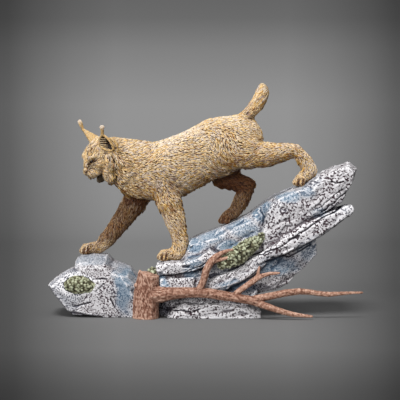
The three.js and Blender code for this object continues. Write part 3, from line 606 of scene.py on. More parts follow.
def ruff_distance(h):
    """Distance from the middle lines of the ruff, on either side of the head."""
    m = both_sides(h)
    return np.min([rod(m, a, b, 0.0) for row in RUFF_ROWS for a, b in pairs(row)], 0)


def sculpt_head(values, points):
    """The features of the face, worked into the distances at these points."""
    h = head_places(points)
    m = both_sides(h)
    values = values - sum(out * swelling(m, middle, radii) for out, middle, radii in FACE_RELIEF)
    # Whisker pads, lips and the open jaw
    for side in (1, -1):
        for (x, y, z), radii in FACE_PADS:
            values = joined(values, ball(h, (x, y * side, z), radii), 0.8)
    values = joined(values, rod(h, (6.0, 0.8, -19.0), (9.4, 0.8, -23.0), 3.2, 2.6), 1.0)
    # Ruffs, thickest at their free edges
    for row, radius in zip(RUFF_ROWS, RUFF_RIDGES):
        for a, b in pairs(row):
            values = joined(values, rod(m, a, b, radius), 0.7)
    for (a, b), (thick, thin) in zip(pairs(HANGING_LOCK), pairs(HANGING_RADII)):
        values = joined(values, rod(m, a, b, thick, thin), 0.6)
    # Lids, tear lines, nose and nostrils
    for side in (1, -1):
        eye = np.array([EYE[0], EYE[1] * side, EYE[2]])
        values = joined(values, ball(h, eye, EYE_RADIUS + 0.6), 0.5)
        almond, front = eye_opening(h, side)
        values = carved(values, np.maximum(almond, -front), 0.25)
        values = carved(values, rod(h, (12.6, 3.6 * side, -0.8), (15.4, 2.9 * side, -2.6), 0.5, 0.35), 0.4)
    values = joined(values, ball(h, (18.6, 0, -5.9), (2.2, 3.3, 2.1)), 0.6)
    x, y, z = NOSTRIL
    for side in (1, -1):
        inner = (x - 2.6, 2.7 * side, z + 0.4)
        values = carved(values, rod(h, (x + 0.8, y * side, z), inner, 0.85, 0.5), 0.35)
    return carved(values, rod(h, (20.6, 0, -8.2), (19.2, 0, -12.5), 0.4), 0.3)


def paw_ring(name, angle, reach, height):
    """A place on a paw: at this angle from straight ahead towards the near side, this far out, this high."""
    low, high = node_box(name)
    half = (high[1] - low[1]) / 2
    turn = math.radians(angle)
    middle = np.array([low[0] + PAW_LENGTH, low[1] + half, low[2] + height])
    return middle - np.array([math.cos(turn) * PAW_LENGTH, math.sin(turn) * (half + 0.6), 0]) * reach


def toe_gaps(name, points):
    """Distances from each stretch of the gaps between a paw's toes."""
    lines = [[paw_ring(name, angle, *place) for place in GAP_LINE] for angle in TOE_GAPS]
    return [rod(points, a, b, GAP_RADIUS) for line in lines for a, b in pairs(line)]


def toes(values, points):
    """Toes round the front of each paw, with gaps between them."""
    for name in PAWS:
        low, high = node_box(name)
        upper = np.array([low[0] + 22, high[1] + 4, low[2] + 17])
        near = np.nonzero(((points > low - 4) & (points < upper)).all(1))[0]
        p, v = points[near], values[near]
        for angle in TOES:
            knuckle, tip = (paw_ring(name, angle, *place) for place in TOE_LINE)
            v = joined(v, rod(p, knuckle, tip, *TOE_RADII), 0.5)
        for gap in toe_gaps(name, p):
            v = carved(v, gap, 0.6)
        values[near] = v
    return values


class Skin(Surface):
    """The body's surface, with the head's finer one over it."""

    def __init__(self, lie):
        body = Solid.of_nodes(FLESH, SKIN_STEP, SKIN_BAND, 0.18).blurred(1.0).measured(SKIN_BAND)
        where, places = body.near_places(SKIN_BAND * SKIN_STEP * 0.95)
        values = toes(body.values[where] + lie.blend(places, SINK), places)
        body.values[where] = values + 1.5 * smooth(0.5, 1.0, head_share(places))
        low, high = node_box("head")
        nodes, box = ["head", "jaw", "nose", "neck", "torso"], (low - 6, high + np.array([14, 6, 6]))
        head = Solid.of_nodes(nodes, HEAD_STEP, HEAD_BAND, 0.16, box).blurred(0.6).measured(HEAD_BAND)
        where, places = head.near_places(HEAD_STEP * (HEAD_BAND - 0.5))
        values = sculpt_head(head.values[where], places) + 0.5 * smooth(-5, -13, head_places(places)[:, 0])
        head.values[where] = values + 1.9 * smooth(0.5, 0.0, head_share(places))
        self.body, self.soft_body = body, body.blurred(2.2)
        self.head, self.soft_head = head, head.blurred(1.3)
        self.soft_head = self.head.blurred(1.3)

    def at(self, points):
        values = self.body.at(points)
        inside = np.nonzero(self.head.holds(points))[0]
        values[inside] = np.minimum(values[inside], self.head.at(points[inside]))
        return values

    def relief(self, points):
        """How far each place on the surface stands out of its surroundings, below 0 in hollows."""
        values = self.soft_body.at(points) - self.body.at(points)
        near = np.nonzero(self.head.holds(points) & (head_share(points) > 0.5))[0]
        values[near] = self.soft_head.at(points[near]) - self.head.at(points[near])
        return values


# Coat

def spread_roots(points, size, seed):
    """One point out of each cube, where the cubes follow this size in small steps."""
    generator = np.random.default_rng(seed)
    level = np.round(np.log(size) / 0.1).astype(np.int64)
    key = np.floor(points / np.exp(0.1 * level)[:, None]).astype(np.int64)
    number = (key[:, 0] * 73856093) ^ (key[:, 1] * 19349663) ^ (key[:, 2] * 83492791) ^ (level * 49979687)
    order = generator.permutation(len(points))
    _, first = np.unique(number[order], return_index=True)
    return order[first]


def grow_locks(skin, lie, roots, sizes, section, depth, seed):
    """Tapered ridges that follow the skin from their roots: points by lock, faces, crest and along."""
    generator = np.random.default_rng(seed)
    n = len(roots)
    length, width, thick, lift = sizes.T
    length = length * generator.uniform(0.7, 1.35, n)
    width = width * generator.uniform(0.75, 1.25, n)
    thick = thick * generator.uniform(0.7, 1.35, n)
    lift = lift * generator.uniform(0.6, 1.4, n)
    aside = generator.normal(0, 0.2, n)
    bend = generator.normal(0, 0.35, n)
    at = skin.drawn_in(roots, -depth)
    normal = skin.outward(at)
    way = lie.flow(at, normal)
    start = at - 0.1 * length[:, None] * way - (0.7 * thick)[:, None] * normal
    rows, travelled = [start[:, None]], 0.0
    for share, wide, high, rise in LOCK_ROWS + ((1.0, 0.0, 0.0, LOCK_TIP_RISE),):
        turn = aside + bend * (share - 0.5)
        heading = unit(way + turn[:, None] * np.cross(normal, way))
        at = skin.drawn_in(at + heading * ((share - travelled) * length)[:, None], -depth)
        normal = skin.outward(at)
        way = along_surface(0.5 * way + 0.5 * lie.flow(at, normal), normal)
        travelled = share
        middle = at + normal * (rise * lift * thick)[:, None]
        if wide:
            side = (0.5 * wide * width)[:, None] * np.cross(normal, way)
            up = (high * thick)[:, None] * normal
            rows.append(np.stack([middle + across * side + height * up for across, height, _ in section], 1))
        else:
            rows.append(middle[:, None])
    points = np.concatenate(rows, 1).astype(np.float32)
    sides, last = len(section), points.shape[1] - 1
    crest = np.concatenate([[0.0], np.tile([c for _, _, c in section], len(LOCK_ROWS)), [0.8]])
    along = np.concatenate([[0.0], np.repeat([row[0] for row in LOCK_ROWS], sides), [1.0]])
    fans, quads = [], []
    for s in range(sides):
        t = (s + 1) % sides
        fans += [[0, 1 + t, 1 + s], [last, last - sides + s, last - sides + t]]
        for r in range(len(LOCK_ROWS) - 1):
            a = 1 + r * sides
            quads.append([a + s, a + t, a + sides + t, a + sides + s])
    return points, (np.array(quads), np.array(fans)), crest, along


def locks_piece(name, locks, sides, crest, along, places, paint):
    """One piece of coat. Places has each lock's place on the flat map, and paint what a whole lock has."""
    n, per_lock, _ = locks.shape
    base = (np.arange(n) * per_lock)[:, None, None]
    faces = [(side[None] + base).reshape(-1, side.shape[1]) for side in sides]
    values = {key: np.repeat(data, per_lock) for key, data in paint.items()}
    values["crest"] = np.tile(crest, n)
    patch = np.stack([PATCH * (along - 0.5), PATCH * (crest - 0.5)], 1)
    uv = (places[:, None, :] + patch[None]).reshape(-1, 2)
    coat = piece(name, locks.reshape(-1, 3), faces, values, uv)
    coat.data.materials.append(material(coat_paint))


def coat_wash_and_shade(lie, points, normals):
    """How dark the coat is painted: on the inner sides of the legs, partly a wash and partly painted shade,
    and as painted shade between the toes and a little underneath.
    """
    middle = np.mean(node_box("torso"), 0)[1]
    inward = smooth(-0.35, 0.3, normals[:, 1] * np.sign(middle - points[:, 1]))
    gaps = np.min([gap for name in PAWS for gap in toe_gaps(name, points)], 0)
    shade_and_tone = lie.blend(points, INNER_WASH_AND_SHADE) * inward + 0.2 * smooth(-0.4, -0.95, normals[:, 2])
    return np.clip(shade_and_tone + smooth(1.1, 0.3, gaps), 0, 1.4)


# Dark lines on the face, how wide they are and how dark
FACE_LINES = (
    (((12.4, 4.0, -0.5), (15.6, 2.9, -2.6), (17.4, 3.4, -5.0)), 0.9, 0.6),
    (((10.0, 7.6, 0.9), (5.6, 11.2, 0.6), (1.6, 14.6, -0.6)), 1.0, 0.6),
    (((0.4, 5.8, 12.0), (4.8, 6.1, 10.1), (8.8, 6.4, 7.8)), 1.0, 0.65),
    (((1.5, 1.0, 13.2), (6.0, 2.2, 11.4), (10.4, 2.4, 9.1), (12.2, 2.6, 6.9)), 1.0, 0.7),
    (((19.6, 0.0, -8.6), (19.0, 0.2, -12.0), (17.4, 2.0, -15.4)), 0.9, 0.75),
    (((5.4, 14.0, -1.2), (4.6, 17.4, -5.4), (6.2, 17.6, -11.0)), 1.3, 0.7),
    (((0.8, 18.6, -2.0), (0.6, 22.4, -7.4), (1.4, 22.0, -14.4)), 1.2, 0.75),
    (((8.0, 11.0, -7.2), (9.6, 10.6, -11.0), (9.4, 9.6, -15.0)), 1.4, 0.8),
    (((14.6, 7.6, -3.6), (12.4, 9.8, -6.0), (9.6, 11.2, -8.0)), 1.0, 0.6),
    (((-2.0, 10.0, 6.4), (-3.4, 15.6, 3.0), (-6.4, 20.0, 1.6)), 1.4, 0.6),
)
# Light and golden places on the face: middle, half widths, and how much lighter and more golden they are
FACE_LIGHTS = (
    ((10.6, 7.8, 4.2), (3.2, 3.2, 1.8), 1.2, 0.0), ((4.2, 11.4, 2.4), (3.8, 3.2, 2.0), 1.0, 0.0),
    ((15.6, 5.0, -10.4), (4.8, 4.6, 4.6), 1.2, 0.1), ((6.6, 13.6, -4.4), (4.4, 4.4, 4.8), 0.9, 0.9),
    ((15.0, 0.0, 1.2), (5.0, 3.0, 5.4), 0.8, 0.6), ((3.0, 19.6, -12.0), (3.6, 3.6, 9.0), 0.9, 0.2),
)


def face_paint(points):
    """Extra dark paint on the face: lids, nostrils, mouth and the stripes of brow and cheek. Round the eyes
    and under the muzzle it is partly painted shade.
    """
    h = head_places(points)
    m = both_sides(h)
    dark = smooth(1.5, 0.8, np.linalg.norm(m - np.array(NOSTRIL), axis=1))
    for side in (1, -1):
        almond, front = eye_opening(h, side)
        near = (front > -1) & (np.abs(h[:, 1] - EYE[1] * side) < 4.5)
        # Round the eye: the dark lids, and a wider ring of painted shade
        dark = np.maximum(dark, (0.5 * smooth(0.9, 0.1, almond) + 0.42 * smooth(2.4, 0.8, almond)) * near)
    for line, width, strength in FACE_LINES:
        for a, b in pairs(line):
            dark = np.maximum(dark, strength * smooth(width, 0.25 * width, rod(m, a, b, 0.0)))
    # Under the muzzle: the dark of the open mouth, and painted shade
    mouth = smooth(-14.5, -16.5, m[:, 2]) * smooth(13.5, 10, m[:, 0]) * smooth(13, 10, m[:, 1])
    return np.maximum(dark, 0.85 * mouth) * (head_share(points) > 0.5)


def face_lights(points):
    """How light and how golden each place of the face is beyond the rest of the coat."""
    m = both_sides(head_places(points))
    there = [swelling(m, middle, radii) for middle, radii, _, _ in FACE_LIGHTS]
    light = np.max([row[2] * at for row, at in zip(FACE_LIGHTS, there)], 0)
    gold = np.max([row[3] * at for row, at in zip(FACE_LIGHTS, there)], 0)
    return light * head_share(points), gold * head_share(points)


def skin_polygons(skin, adaptivity):
    """The body's and the head's surfaces as one list of points and faces, without what the other covers."""
    parts, faces, count = [], [], 0
    for solid in (skin.body, skin.head):
        points, quads = solid.polygons(-COAT_DEPTH, adaptivity)
        buried = skin.at(points) < -COAT_DEPTH - 0.5
        parts.append(points)
        faces.append(quads[~buried[quads].all(1)] + count)
        count += len(points)
    points, faces = np.concatenate(parts), np.concatenate(faces)
    used = np.unique(faces)
    number = np.zeros(len(points), np.int64)
    number[used] = np.arange(len(used))
    return points[used], number[faces]


def bare_gaps(points):
    """Distances from the nearer eye and from the nose, where no lock grows."""
    eyes_at = [np.mean(node_box(name), 0) for name in EYES]
    from_eye = np.min([np.linalg.norm(points - e, axis=1) for e in eyes_at], 0)
    return from_eye, np.linalg.norm(head_places(points) - np.array(NOSE), axis=1)


def skin_piece(skin, lie):
    points, faces = skin_polygons(skin, 0.25)
    from_eye, from_nose = bare_gaps(points)
    bare = np.maximum(smooth(4.2, 3.2, from_eye), smooth(3.8, 2.9, from_nose))
    dark = face_paint(points)
    light, _ = face_lights(points)
    body = piece("lynx_skin", points, split_faces(faces), {
        # The skin between the locks is dark: partly the paint's dark ground and partly painted shade
        "crest": 0.18 + (0.6 * bare * head_share(points) + 0.14 * light) * (1 - dark),
        "tint": 0.3 + 0.3 * noise(points, 3, 2) + 0.25 * bare,
        "shade_and_tone": coat_wash_and_shade(lie, points, skin.outward(points)),
        "dark": dark,
    }, unwrap(points, lie))
    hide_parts(*FLESH)
    body.data.materials.append(material(coat_paint))


def coat(skin, lie):
    """Fine locks everywhere and large ones where the coat is shaggy."""
    points, _ = skin_polygons(skin, 0.0)
    normals, uv = skin.outward(points), unwrap(points, lie)
    h = head_places(points)
    on_head = head_share(points)
    from_eye, from_nose = bare_gaps(points)
    usable = (skin.at(points) > -COAT_DEPTH - 0.12) & (from_eye > 2.95) & (from_nose > 2.9)
    usable &= ~inside_ear(points) & (rod(both_sides(h), *TEAR_LINE, 0.75) > 0)
    face = on_head * smooth(-4, 3, h[:, 0])
    ruff = smooth(5.5, 3.5, ruff_distance(h)) * on_head
    fine = lie.blend(points, LOCKS).astype(np.float64)
    fine[:, :3] *= (1 - (1 - FACE_SHARE) * face)[:, None]
    fine *= 1 + ruff[:, None] * np.array(RUFF_GROWTH)
    chosen = spread_roots(points, FINE_SPACING * fine[:, 1] * (1 - 0.12 * on_head), 11)
    chosen = chosen[usable[chosen]]
    coat_pieces(skin, lie, points[chosen], normals[chosen], uv[chosen], fine[chosen], FINE_SECTION, "fine")

    # Large locks hang longest from the belly and the back of the thighs
    under = smooth(0.1, -0.5, normals[:, 2])
    on_body = (points[:, 2] > BELLY_FLOOR) * (1 - on_head)
    shaggy = np.clip(lie.blend(points, SHAGGY) * (1 - face) * (1 - ruff) + 0.45 * under * on_body, 0, 1)
    chosen = spread_roots(points, np.full(len(points), LARGE_SPACING), 12)
    drawn = np.random.default_rng(7).uniform(0, 1, len(chosen))
    chosen = chosen[usable[chosen] & (drawn < shaggy[chosen])]
    large = lie.blend(points, LARGE_LOCKS).astype(np.float64)
    large *= (0.6 + 0.4 * shaggy * (1 - 0.4 * on_head))[:, None]
    rear = smooth(0.35, 0.85, normals[:, 0]) * (points[:, 2] < TAIL_ROOT)
    fringe = np.clip(rear + 0.5 * under * (points[:, 2] > BELLY_FLOOR), 0, 1) * (1 - on_head)
    large[:, 3] *= 1 + 0.8 * fringe
    large[:, 2] *= 1 + 0.3 * fringe
    coat_pieces(skin, lie, points[chosen], normals[chosen], uv[chosen], large[chosen], LARGE_SECTION, "large")


def coat_pieces(skin, lie, roots, normals, places, sizes, section, label):
    """Locks of one kind, in pieces by their place along the body."""
    locks, sides, crest, along = grow_locks(skin, lie, roots, sizes, section, COAT_DEPTH, 21)
    # Without those that were stretched over a fold
    reach = np.linalg.norm(locks[:, -1] - locks[:, 0], axis=1) / sizes[:, 0]
    height = skin.at(locks.reshape(-1, 3)).reshape(len(locks), -1).max(1)
    keep = (reach < 1.6) & ((head_share(roots) < 0.5) | (height < 3.2))
    locks, roots, normals, places = locks[keep], roots[keep], normals[keep], places[keep]
    shade, deep = np.random.default_rng(len(label)).uniform(0, 1, (2, len(locks)))
    light, gold = face_lights(roots)
    on_head = head_share(roots)
    relief = skin.relief(roots)
    tint = 0.45 + 0.4 * layered(roots, 22, 2, 8) * (1 - 0.7 * on_head)
    tint += (0.95 - 0.35 * np.maximum(light, gold)) * (shade - 0.5)
    tint += 0.06 * light - 0.24 * gold - 0.03 * on_head - 0.05 * smooth(125, 95, roots[:, 2])
    # Painted shade on the inner sides of the legs, between the toes, underneath and in the coat's hollows,
    # and some locks darker at random
    shade_and_tone = coat_wash_and_shade(lie, roots, normals) + (0.55 + 0.3 * on_head) * smooth(0.05, -0.55, relief)
    shade_and_tone += (0.45 + 0.4 * on_head) * deep ** 3 - 0.06 * on_head - 0.7 * light
    paint = {
        # In the hollows the tint turns darker too, as painted shade
        "tint": np.clip(tint - 0.12 * smooth(0.05, -0.5, relief), 0, 1),
        "shade_and_tone": np.clip(shade_and_tone, 0, 1.3),
        "dark": face_paint(roots),
    }
    order = np.argsort(roots[:, 0], kind="stable")
    per_piece = PIECE_TRIANGLES // (2 * len(sides[0]) + len(sides[1]))
    for number, start in enumerate(range(0, len(locks), per_piece)):
        mine = order[start:start + per_piece]
        mine_paint = {key: data[mine] for key, data in paint.items()}
        locks_piece(f"coat_{label}_{number + 1}", locks[mine], sides, crest, along, places[mine], mine_paint)


# Ears and eyes

EAR_STEP = 0.32
# The near ear's rim, in its own plane: across towards the tail and up to the tip
RIM = (
    (-2.1, 9.8), (-5.0, 7.3), (-6.9, 4.5), (-7.3, 0.4), (-7.0, -2.2), (-4.8, -4.6), (-1.1, -6.6), (2.7, -7.8),
    (5.3, -8.4), (7.8, -6.0), (7.5, -2.4), (5.7, 2.0), (3.2, 5.6), (0.5, 8.3),
)
RIM_MIDDLE = (-97.0, -14.3, 169.4)
RIM_LOOKS = (-0.35, -0.9, -0.25)
RIM_THICK = 1.35
CUP_DEPTH = 4.6
# The fold behind it, the hairs across its opening, and the tuft
EAR_FOLD = ((5.6, 4.6), (9.4, 1.8), (12.0, -2.0), (12.4, -5.8), (10.8, -9.4))
EAR_HAIRS = (
    (-4.8, -4.8, 1.2), (-6.1, -2.8, 1.9), (-6.7, -0.9, 1.4), (-6.8, 1.1, 2.1), (-6.5, 3.1, 1.2),
    (-5.6, 5.1, 0.8),
)
TUFT = ((-1.8, 9.0, -0.4), (-1.4, 13.2, -0.6), (-1.0, 16.6, -0.6))
EAR_LOCKS = (2.6, 1.05, 0.55, 0.7)
# The far ear: the middle of its root, its tip, the top of its tuft, and the way its cup looks
FAR_EAR = ((-111.2, 14.6, 172.8), (-122.0, 16.4, 183.9), (-125.0, 17.0, 191.7))
FAR_LOOKS = (-0.93, 0.2, -0.31)


def rim_ways():
    """The directions of the near ear's plane: across, up, and the way the cup looks."""
    looks = unit(np.array(RIM_LOOKS))
    up = np.array([-0.05, 0, 1.0])
    up = unit(up - (up @ looks) * looks)
    return np.array([np.cross(up, looks), up, looks])


def rim_places(points):
    return (points - np.array(RIM_MIDDLE)) @ rim_ways().T


def outline_distance(across, up, corners):
    """Distance from a closed line in a plane, below 0 inside it."""
    best = np.full(len(across), 1e9)
    inside = np.zeros(len(across), bool)
    for (x0, y0), (x1, y1) in zip(corners, corners[1:] + corners[:1]):
        way = np.array([x1 - x0, y1 - y0])
        t = np.clip(((across - x0) * way[0] + (up - y0) * way[1]) / (way @ way), 0, 1)
        best = np.minimum(best, np.hypot(across - x0 - t * way[0], up - y0 - t * way[1]))
        crosses = (y0 > up) != (y1 > up)
        slope = way[0] / way[1] if way[1] else 0.0
        inside ^= crosses & (across < x0 + slope * (up - y0))
    return np.where(inside, -best, best)


def near_ear(points):
    """Distance from the near ear, and how much painted shade each place has: more the deeper it lies in the
    cup and the nearer the side towards the tail.
    """
    p = rim_places(points)
    rim = outline_distance(p[:, 0], p[:, 1], RIM)
    back = CUP_DEPTH * (1 - np.exp(-np.maximum(-rim, 0) / 2.2)) + RIM_THICK
    height = p[:, 2] + 0.05 * (p[:, 0] + 1) ** 2 * 0.3
    values = np.maximum(np.maximum(rim, height - 0.5), -height - back)
    hollow = np.maximum(rim + RIM_THICK, -height - (back - 1.3 * RIM_THICK))
    values = carved(values, hollow, 0.3)
    depth = smooth(0.1, 0.7, -height) * (rim < -0.5) * (0.6 + 0.4 * smooth(-1.5, 1.5, p[:, 0]))
    for number, (start, row, end) in enumerate(EAR_HAIRS):
        droop = 0.35 * math.sin(2.3 * number)
        middle = ((start + end) / 2, row + 0.3 + 0.4 * droop, -1.0)
        strand = rod(p, (start, row, -0.2), middle, 0.5, 0.6)
        strand = np.minimum(strand, rod(p, middle, (end, row - 0.4 + droop, -2.0), 0.6, 0.35))
        values = np.minimum(values, strand)
        depth = np.where(strand < 0.12, 0.06 + 0.4 * smooth(-0.5, end + 0.5, p[:, 0]), depth)
    for a, b in pairs(EAR_FOLD):
        values = joined(values, rod(p, (*a, -1.6), (*b, -1.9), 0.95), 0.4)
    root, neck, club = TUFT
    stem = rod(p, root, neck, 1.3, 1.15)
    knob = np.minimum(ball(p, club, (2.5, 1.7, 1.5)), rod(p, neck, club, 0.9, 1.7))
    return joined(values, joined(stem, knob, 0.8), 0.7), depth


def far_ear(points):
    """The same for the far ear, which is seen from its edge."""
    root, tip, top = (np.array(place) for place in FAR_EAR)
    looks = unit(np.array(FAR_LOOKS))
    side = unit(np.cross(looks, tip - root))
    hollow = rod(points, root + 3.2 * looks, tip + 0.9 * looks - 0.12 * (tip - root), 4.5, 0.5)
    values = carved(rod(points, root, tip, 6.1, 0.9), hollow, 0.4)
    depth = smooth(0.9, 0.2, hollow)
    shell = rod(points, root, tip, 5.9, 0.8)
    for k in range(5):
        place = root + (0.1 + 0.17 * k) * (tip - root) + (3.2 - 0.4 * k) * looks
        reach = 4.6 - 0.75 * k
        strand = rod(points, place - reach * side, place + 0.2 * reach * side - 0.6 * looks, 0.8, 0.4)
        strand = np.maximum(strand, shell)
        values = np.minimum(values, strand)
        depth = np.where(strand < 0.2, 0.06, depth)
    tuft = rod(points, tip - 0.1 * (top - tip), top, 0.95, 1.75)
    return joined(values, tuft, 0.6), depth


def inside_ear(points):
    """Where the coat would stand inside the near ear."""
    p = rim_places(points)
    near = outline_distance(p[:, 0], p[:, 1], RIM) < -0.4
    return near & (p[:, 2] > -CUP_DEPTH) & (p[:, 2] < 4)


class EarLie:
    """On an ear the coat runs to the tip."""

    def __init__(self, tip):
        self.tip = tip

    def flow(self, points, normals):
        return along_surface(unit(self.tip - points), normals)


def ear(name, shape, tip, lie):
    low, high = node_box(name)
    low, high = low - 5, high + 5
    counts = np.ceil((high - low) / EAR_STEP).astype(int) + 1
    places = np.stack(np.meshgrid(*[np.arange(c) for c in counts], indexing="ij"), -1).reshape(-1, 3)
    places = (places * EAR_STEP + low).astype(np.float32)
    solid = Solid(low, EAR_STEP, shape(places)[0].reshape(counts).astype(np.float32)).blurred(0.25)
    points, faces = solid.polygons()
    normals = solid.outward(points)
    bulge = smooth(-0.4, 0.25, solid.blurred(1.0).at(points))
    _, depth = shape(points)
    fine = noise(points * np.array([1.4, 1.4, 0.35]), 0.8, 44)
    to_tip = np.linalg.norm(points - tip, axis=1)
    white = smooth(4.6, 2.2, to_tip)
    points = points + normals * (0.14 * fine * (1 - depth))[:, None]
    uv = unwrap(points, lie)
    # Painted shade: the ear darker where it is hollow and the deeper into its cup, nearly black at the bottom
    shell = piece(f"{name}_carved", points, split_faces(faces), {
        "crest": np.clip(0.3 + 0.6 * bulge + 0.3 * fine + 0.5 * white, 0, 1.2) * (1 - 0.6 * depth),
        "tint": np.clip(0.2 + 0.2 * fine + 0.5 * white + 0.3 * (depth > 0.03), 0, 1),
        "shade_and_tone": 0.4 + 0.5 * depth - 0.4 * white,
        "dark": 0.97 * smooth(0.3, 0.8, depth),
    }, uv)
    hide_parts(name)
    shell.data.materials.append(material(coat_paint))

    chosen = spread_roots(points, np.full(len(points), 1.0), 31)
    chosen = chosen[(depth[chosen] < 0.05) & (to_tip[chosen] > 1.6)]
    sizes = np.tile(EAR_LOCKS, (len(chosen), 1))
    sizes[:, 0] *= 1 + 0.5 * smooth(9.5, 7.0, to_tip[chosen])
    way = EarLie(tip + 2.5 * unit(tip - points.mean(0)))
    locks, sides, crest, along = grow_locks(solid, way, points[chosen], sizes, FINE_SECTION, 0.15, 32)
    shade = np.random.default_rng(33).uniform(0, 1, len(locks))
    white, bulge, to_tip = white[chosen], bulge[chosen], to_tip[chosen]
    locks_piece(f"coat_{name}", locks, sides, crest, along, uv[chosen], {
        "tint": np.clip(0.02 + 0.5 * shade + 0.5 * white, 0, 1),
        # Locks darker where the ear is hollow, as painted shade, and some darker at random
        "shade_and_tone": (0.15 + 0.35 * smooth(0.2, -0.5, bulge - 0.5) + 0.4 * shade ** 4) * (1 - white),
        "dark": 0.3 * smooth(4.5, 6.5, to_tip) * smooth(10.5, 8.0, to_tip),
    })


def ears(lie):
    x, y, _ = TUFT[-1]
    near_tip = np.array(RIM_MIDDLE) + np.array([x, y, 0.0]) @ rim_ways()
    ear("ear_left", near_ear, near_tip, lie)
    ear("ear_right", far_ear, np.array(FAR_EAR[2]), lie)


def eyes():
    for name in EYES:
        low, high = node_box(name)
        middle, radius = (low + high) / 2, (high - low).max() / 2
        bpy.ops.mesh.primitive_uv_sphere_add(segments=48, ring_count=32, radius=radius * MM,
                                             location=tuple(middle * MM))
        eyeball = bpy.context.object
        eyeball.name = f"{name}_ball"
        eyeball.data.polygons.foreach_set("use_smooth", np.ones(len(eyeball.data.polygons), bool))
        eyeball.data.materials.append(material(eye_gloss))
        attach(eyeball, "root")
        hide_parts(name)


# Rocks

ROCK_STEP = 0.77
ROCK_SLOPES = {"rock_slab": 33.0, "rock_front": -30.0, "rock_foot": 4.0}
ROCK_ROUGHNESS = {"rock_slab": 0.9, "rock_front": 0.35, "rock_foot": 0.9}
# A block that fills the hollow under the ledge: its middle, half sizes and how round its edges are
BLOCK = ((-26.5, -26.5, 30.0), (17.0, 12.3, 9.8))
BLOCK_ROUNDING = 2.5
# The hollow along the bottom of the front rock: its line in X and Z, and how high it is
UNDERCUT = ((-136.0, 7.0), (-98.0, 0.0))
# Cracks and grooves along the side that is seen: their line in X and Z, and how wide they are
CRACKS = (
    (((-48, 41.0), (-33, 41.6), (-19, 45.4), (-4, 51.4), (6, 57.5)), 0.7),
    (((-21, 51.5), (-15, 51.0)), 1.6),
    (((83, 76.0), (100, 89.0), (120, 101.0), (140, 112.4)), 0.9),
    (((51, 118.0), (54, 108.0), (58, 99.0), (57, 90.0)), 1.0),
    (((122, 133.0), (128, 131.0), (135, 134.0)), 0.7),
    (((113, 104.0), (126, 113.0), (137, 121.0)), 0.6),
    (((108, 106.0), (122, 116.0), (134, 125.0)), 0.5),
    (((40, 58.5), (52, 62.5), (70, 68.0), (92, 81.0)), 0.7),
    (((60, 60.0), (84, 60.5), (104, 71.0)), 0.7),
    (((-108, 37.5), (-101, 38.0), (-95, 37.0)), 0.8),
    (((-105, 26.0), (-98, 32.5)), 0.6),
    (((-128, 11.0), (-119, 14.0), (-111, 16.0)), 0.7),
    (((-91, 20.0), (-87, 9.0)), 0.6),
    (((-31, 8.5), (-22, 9.5), (-13, 6.5), (-5, 9.0)), 0.7),
)
# Blue washes, and places of painted shade under overhangs and in recesses: middle and half widths in X and Z,
# and how strong
BLUE_SPOTS = (
    (-14, 70, 20, 8, 1.0), (6, 80, 18, 9, 0.9), (30, 92, 20, 9, 0.9), (55, 106, 10, 15, 1.0),
    (82, 118, 14, 6, 0.9), (24, 68, 14, 8, 1.0), (-41, 32, 7, 13, 1.0), (-12, 45, 8, 8, 0.9),
    (30, 32, 20, 7, 1.0), (72, 50, 22, 11, 0.9), (104, 66, 14, 14, 0.6), (-8, 55, 12, 6, 0.9),
    (100, 122, 9, 6, 0.7), (112, 104, 9, 5, 0.6), (40, 84, 16, 8, 0.8), (-112, 56, 24, 6, 0.5),
    (-77, 28, 9, 26, 1.0), (-82, 44, 7, 8, 0.6), (-122, 38, 16, 5, 0.4), (40, 20, 16, 5, 0.7),
)
PAINTED_SHADE_SPOTS = (
    (78, 56, 22, 8, 0.7), (100, 68, 18, 10, 0.4), (48, 29, 26, 5, 0.9), (14, 24, 24, 5, 1.0),
    (-41, 6, 9, 12, 1.0), (-80, 18, 10, 16, 0.35), (57, 98, 5, 12, 0.5), (-118, 2, 18, 3, 0.9),
)
# Where the pits of the stone are coarse
COARSE_SPOTS = (
    (92, 92, 44, 32, 1.0), (118, 122, 36, 26, 1.0), (112, 88, 40, 24, 1.0), (8, 6, 46, 9, 0.7),
    (64, 66, 26, 9, 0.9),
)


def bedded(points, slope):
    """The points with X along the rock's layers and Z across them."""
    c, s = math.cos(math.radians(slope)), math.sin(math.radians(slope))
    x, y, z = points.T
    return np.stack([x * c + z * s, y, z * c - x * s], 1)


def spots(points, table, seed):
    """How strong the marks of a table are at each place on the side that is seen, for the washes, the painted
    shade and the coarse grain.
    """
    ragged = points + 5.0 * np.stack([layered(points, 14, 2, seed + k) for k in range(3)], 1)
    most = np.zeros(len(points))
    for x, z, wide, high, strength in table:
        away = np.hypot((ragged[:, 0] - x) / wide, (ragged[:, 2] - z) / high)
        most = np.maximum(most, strength * smooth(1.25, 0.55, away))
    return most


def crack_distance(points):
    """Distance in the side view from the nearest crack, in its own widths."""
    bent = points + 1.6 * np.stack([noise(points, 7, 58 + k) for k in range(3)], 1)
    least = np.full(len(points), 9.0)
    for line, width in CRACKS:
        for (x0, z0), (x1, z1) in pairs(line):
            way = np.array([x1 - x0, z1 - z0], np.float32)
            t = np.clip(((bent[:, 0] - x0) * way[0] + (bent[:, 2] - z0) * way[1]) / (way @ way), 0, 1)
            away = np.hypot(bent[:, 0] - x0 - t * way[0], bent[:, 2] - z0 - t * way[1])
            least = np.minimum(least, away / width)
    return least


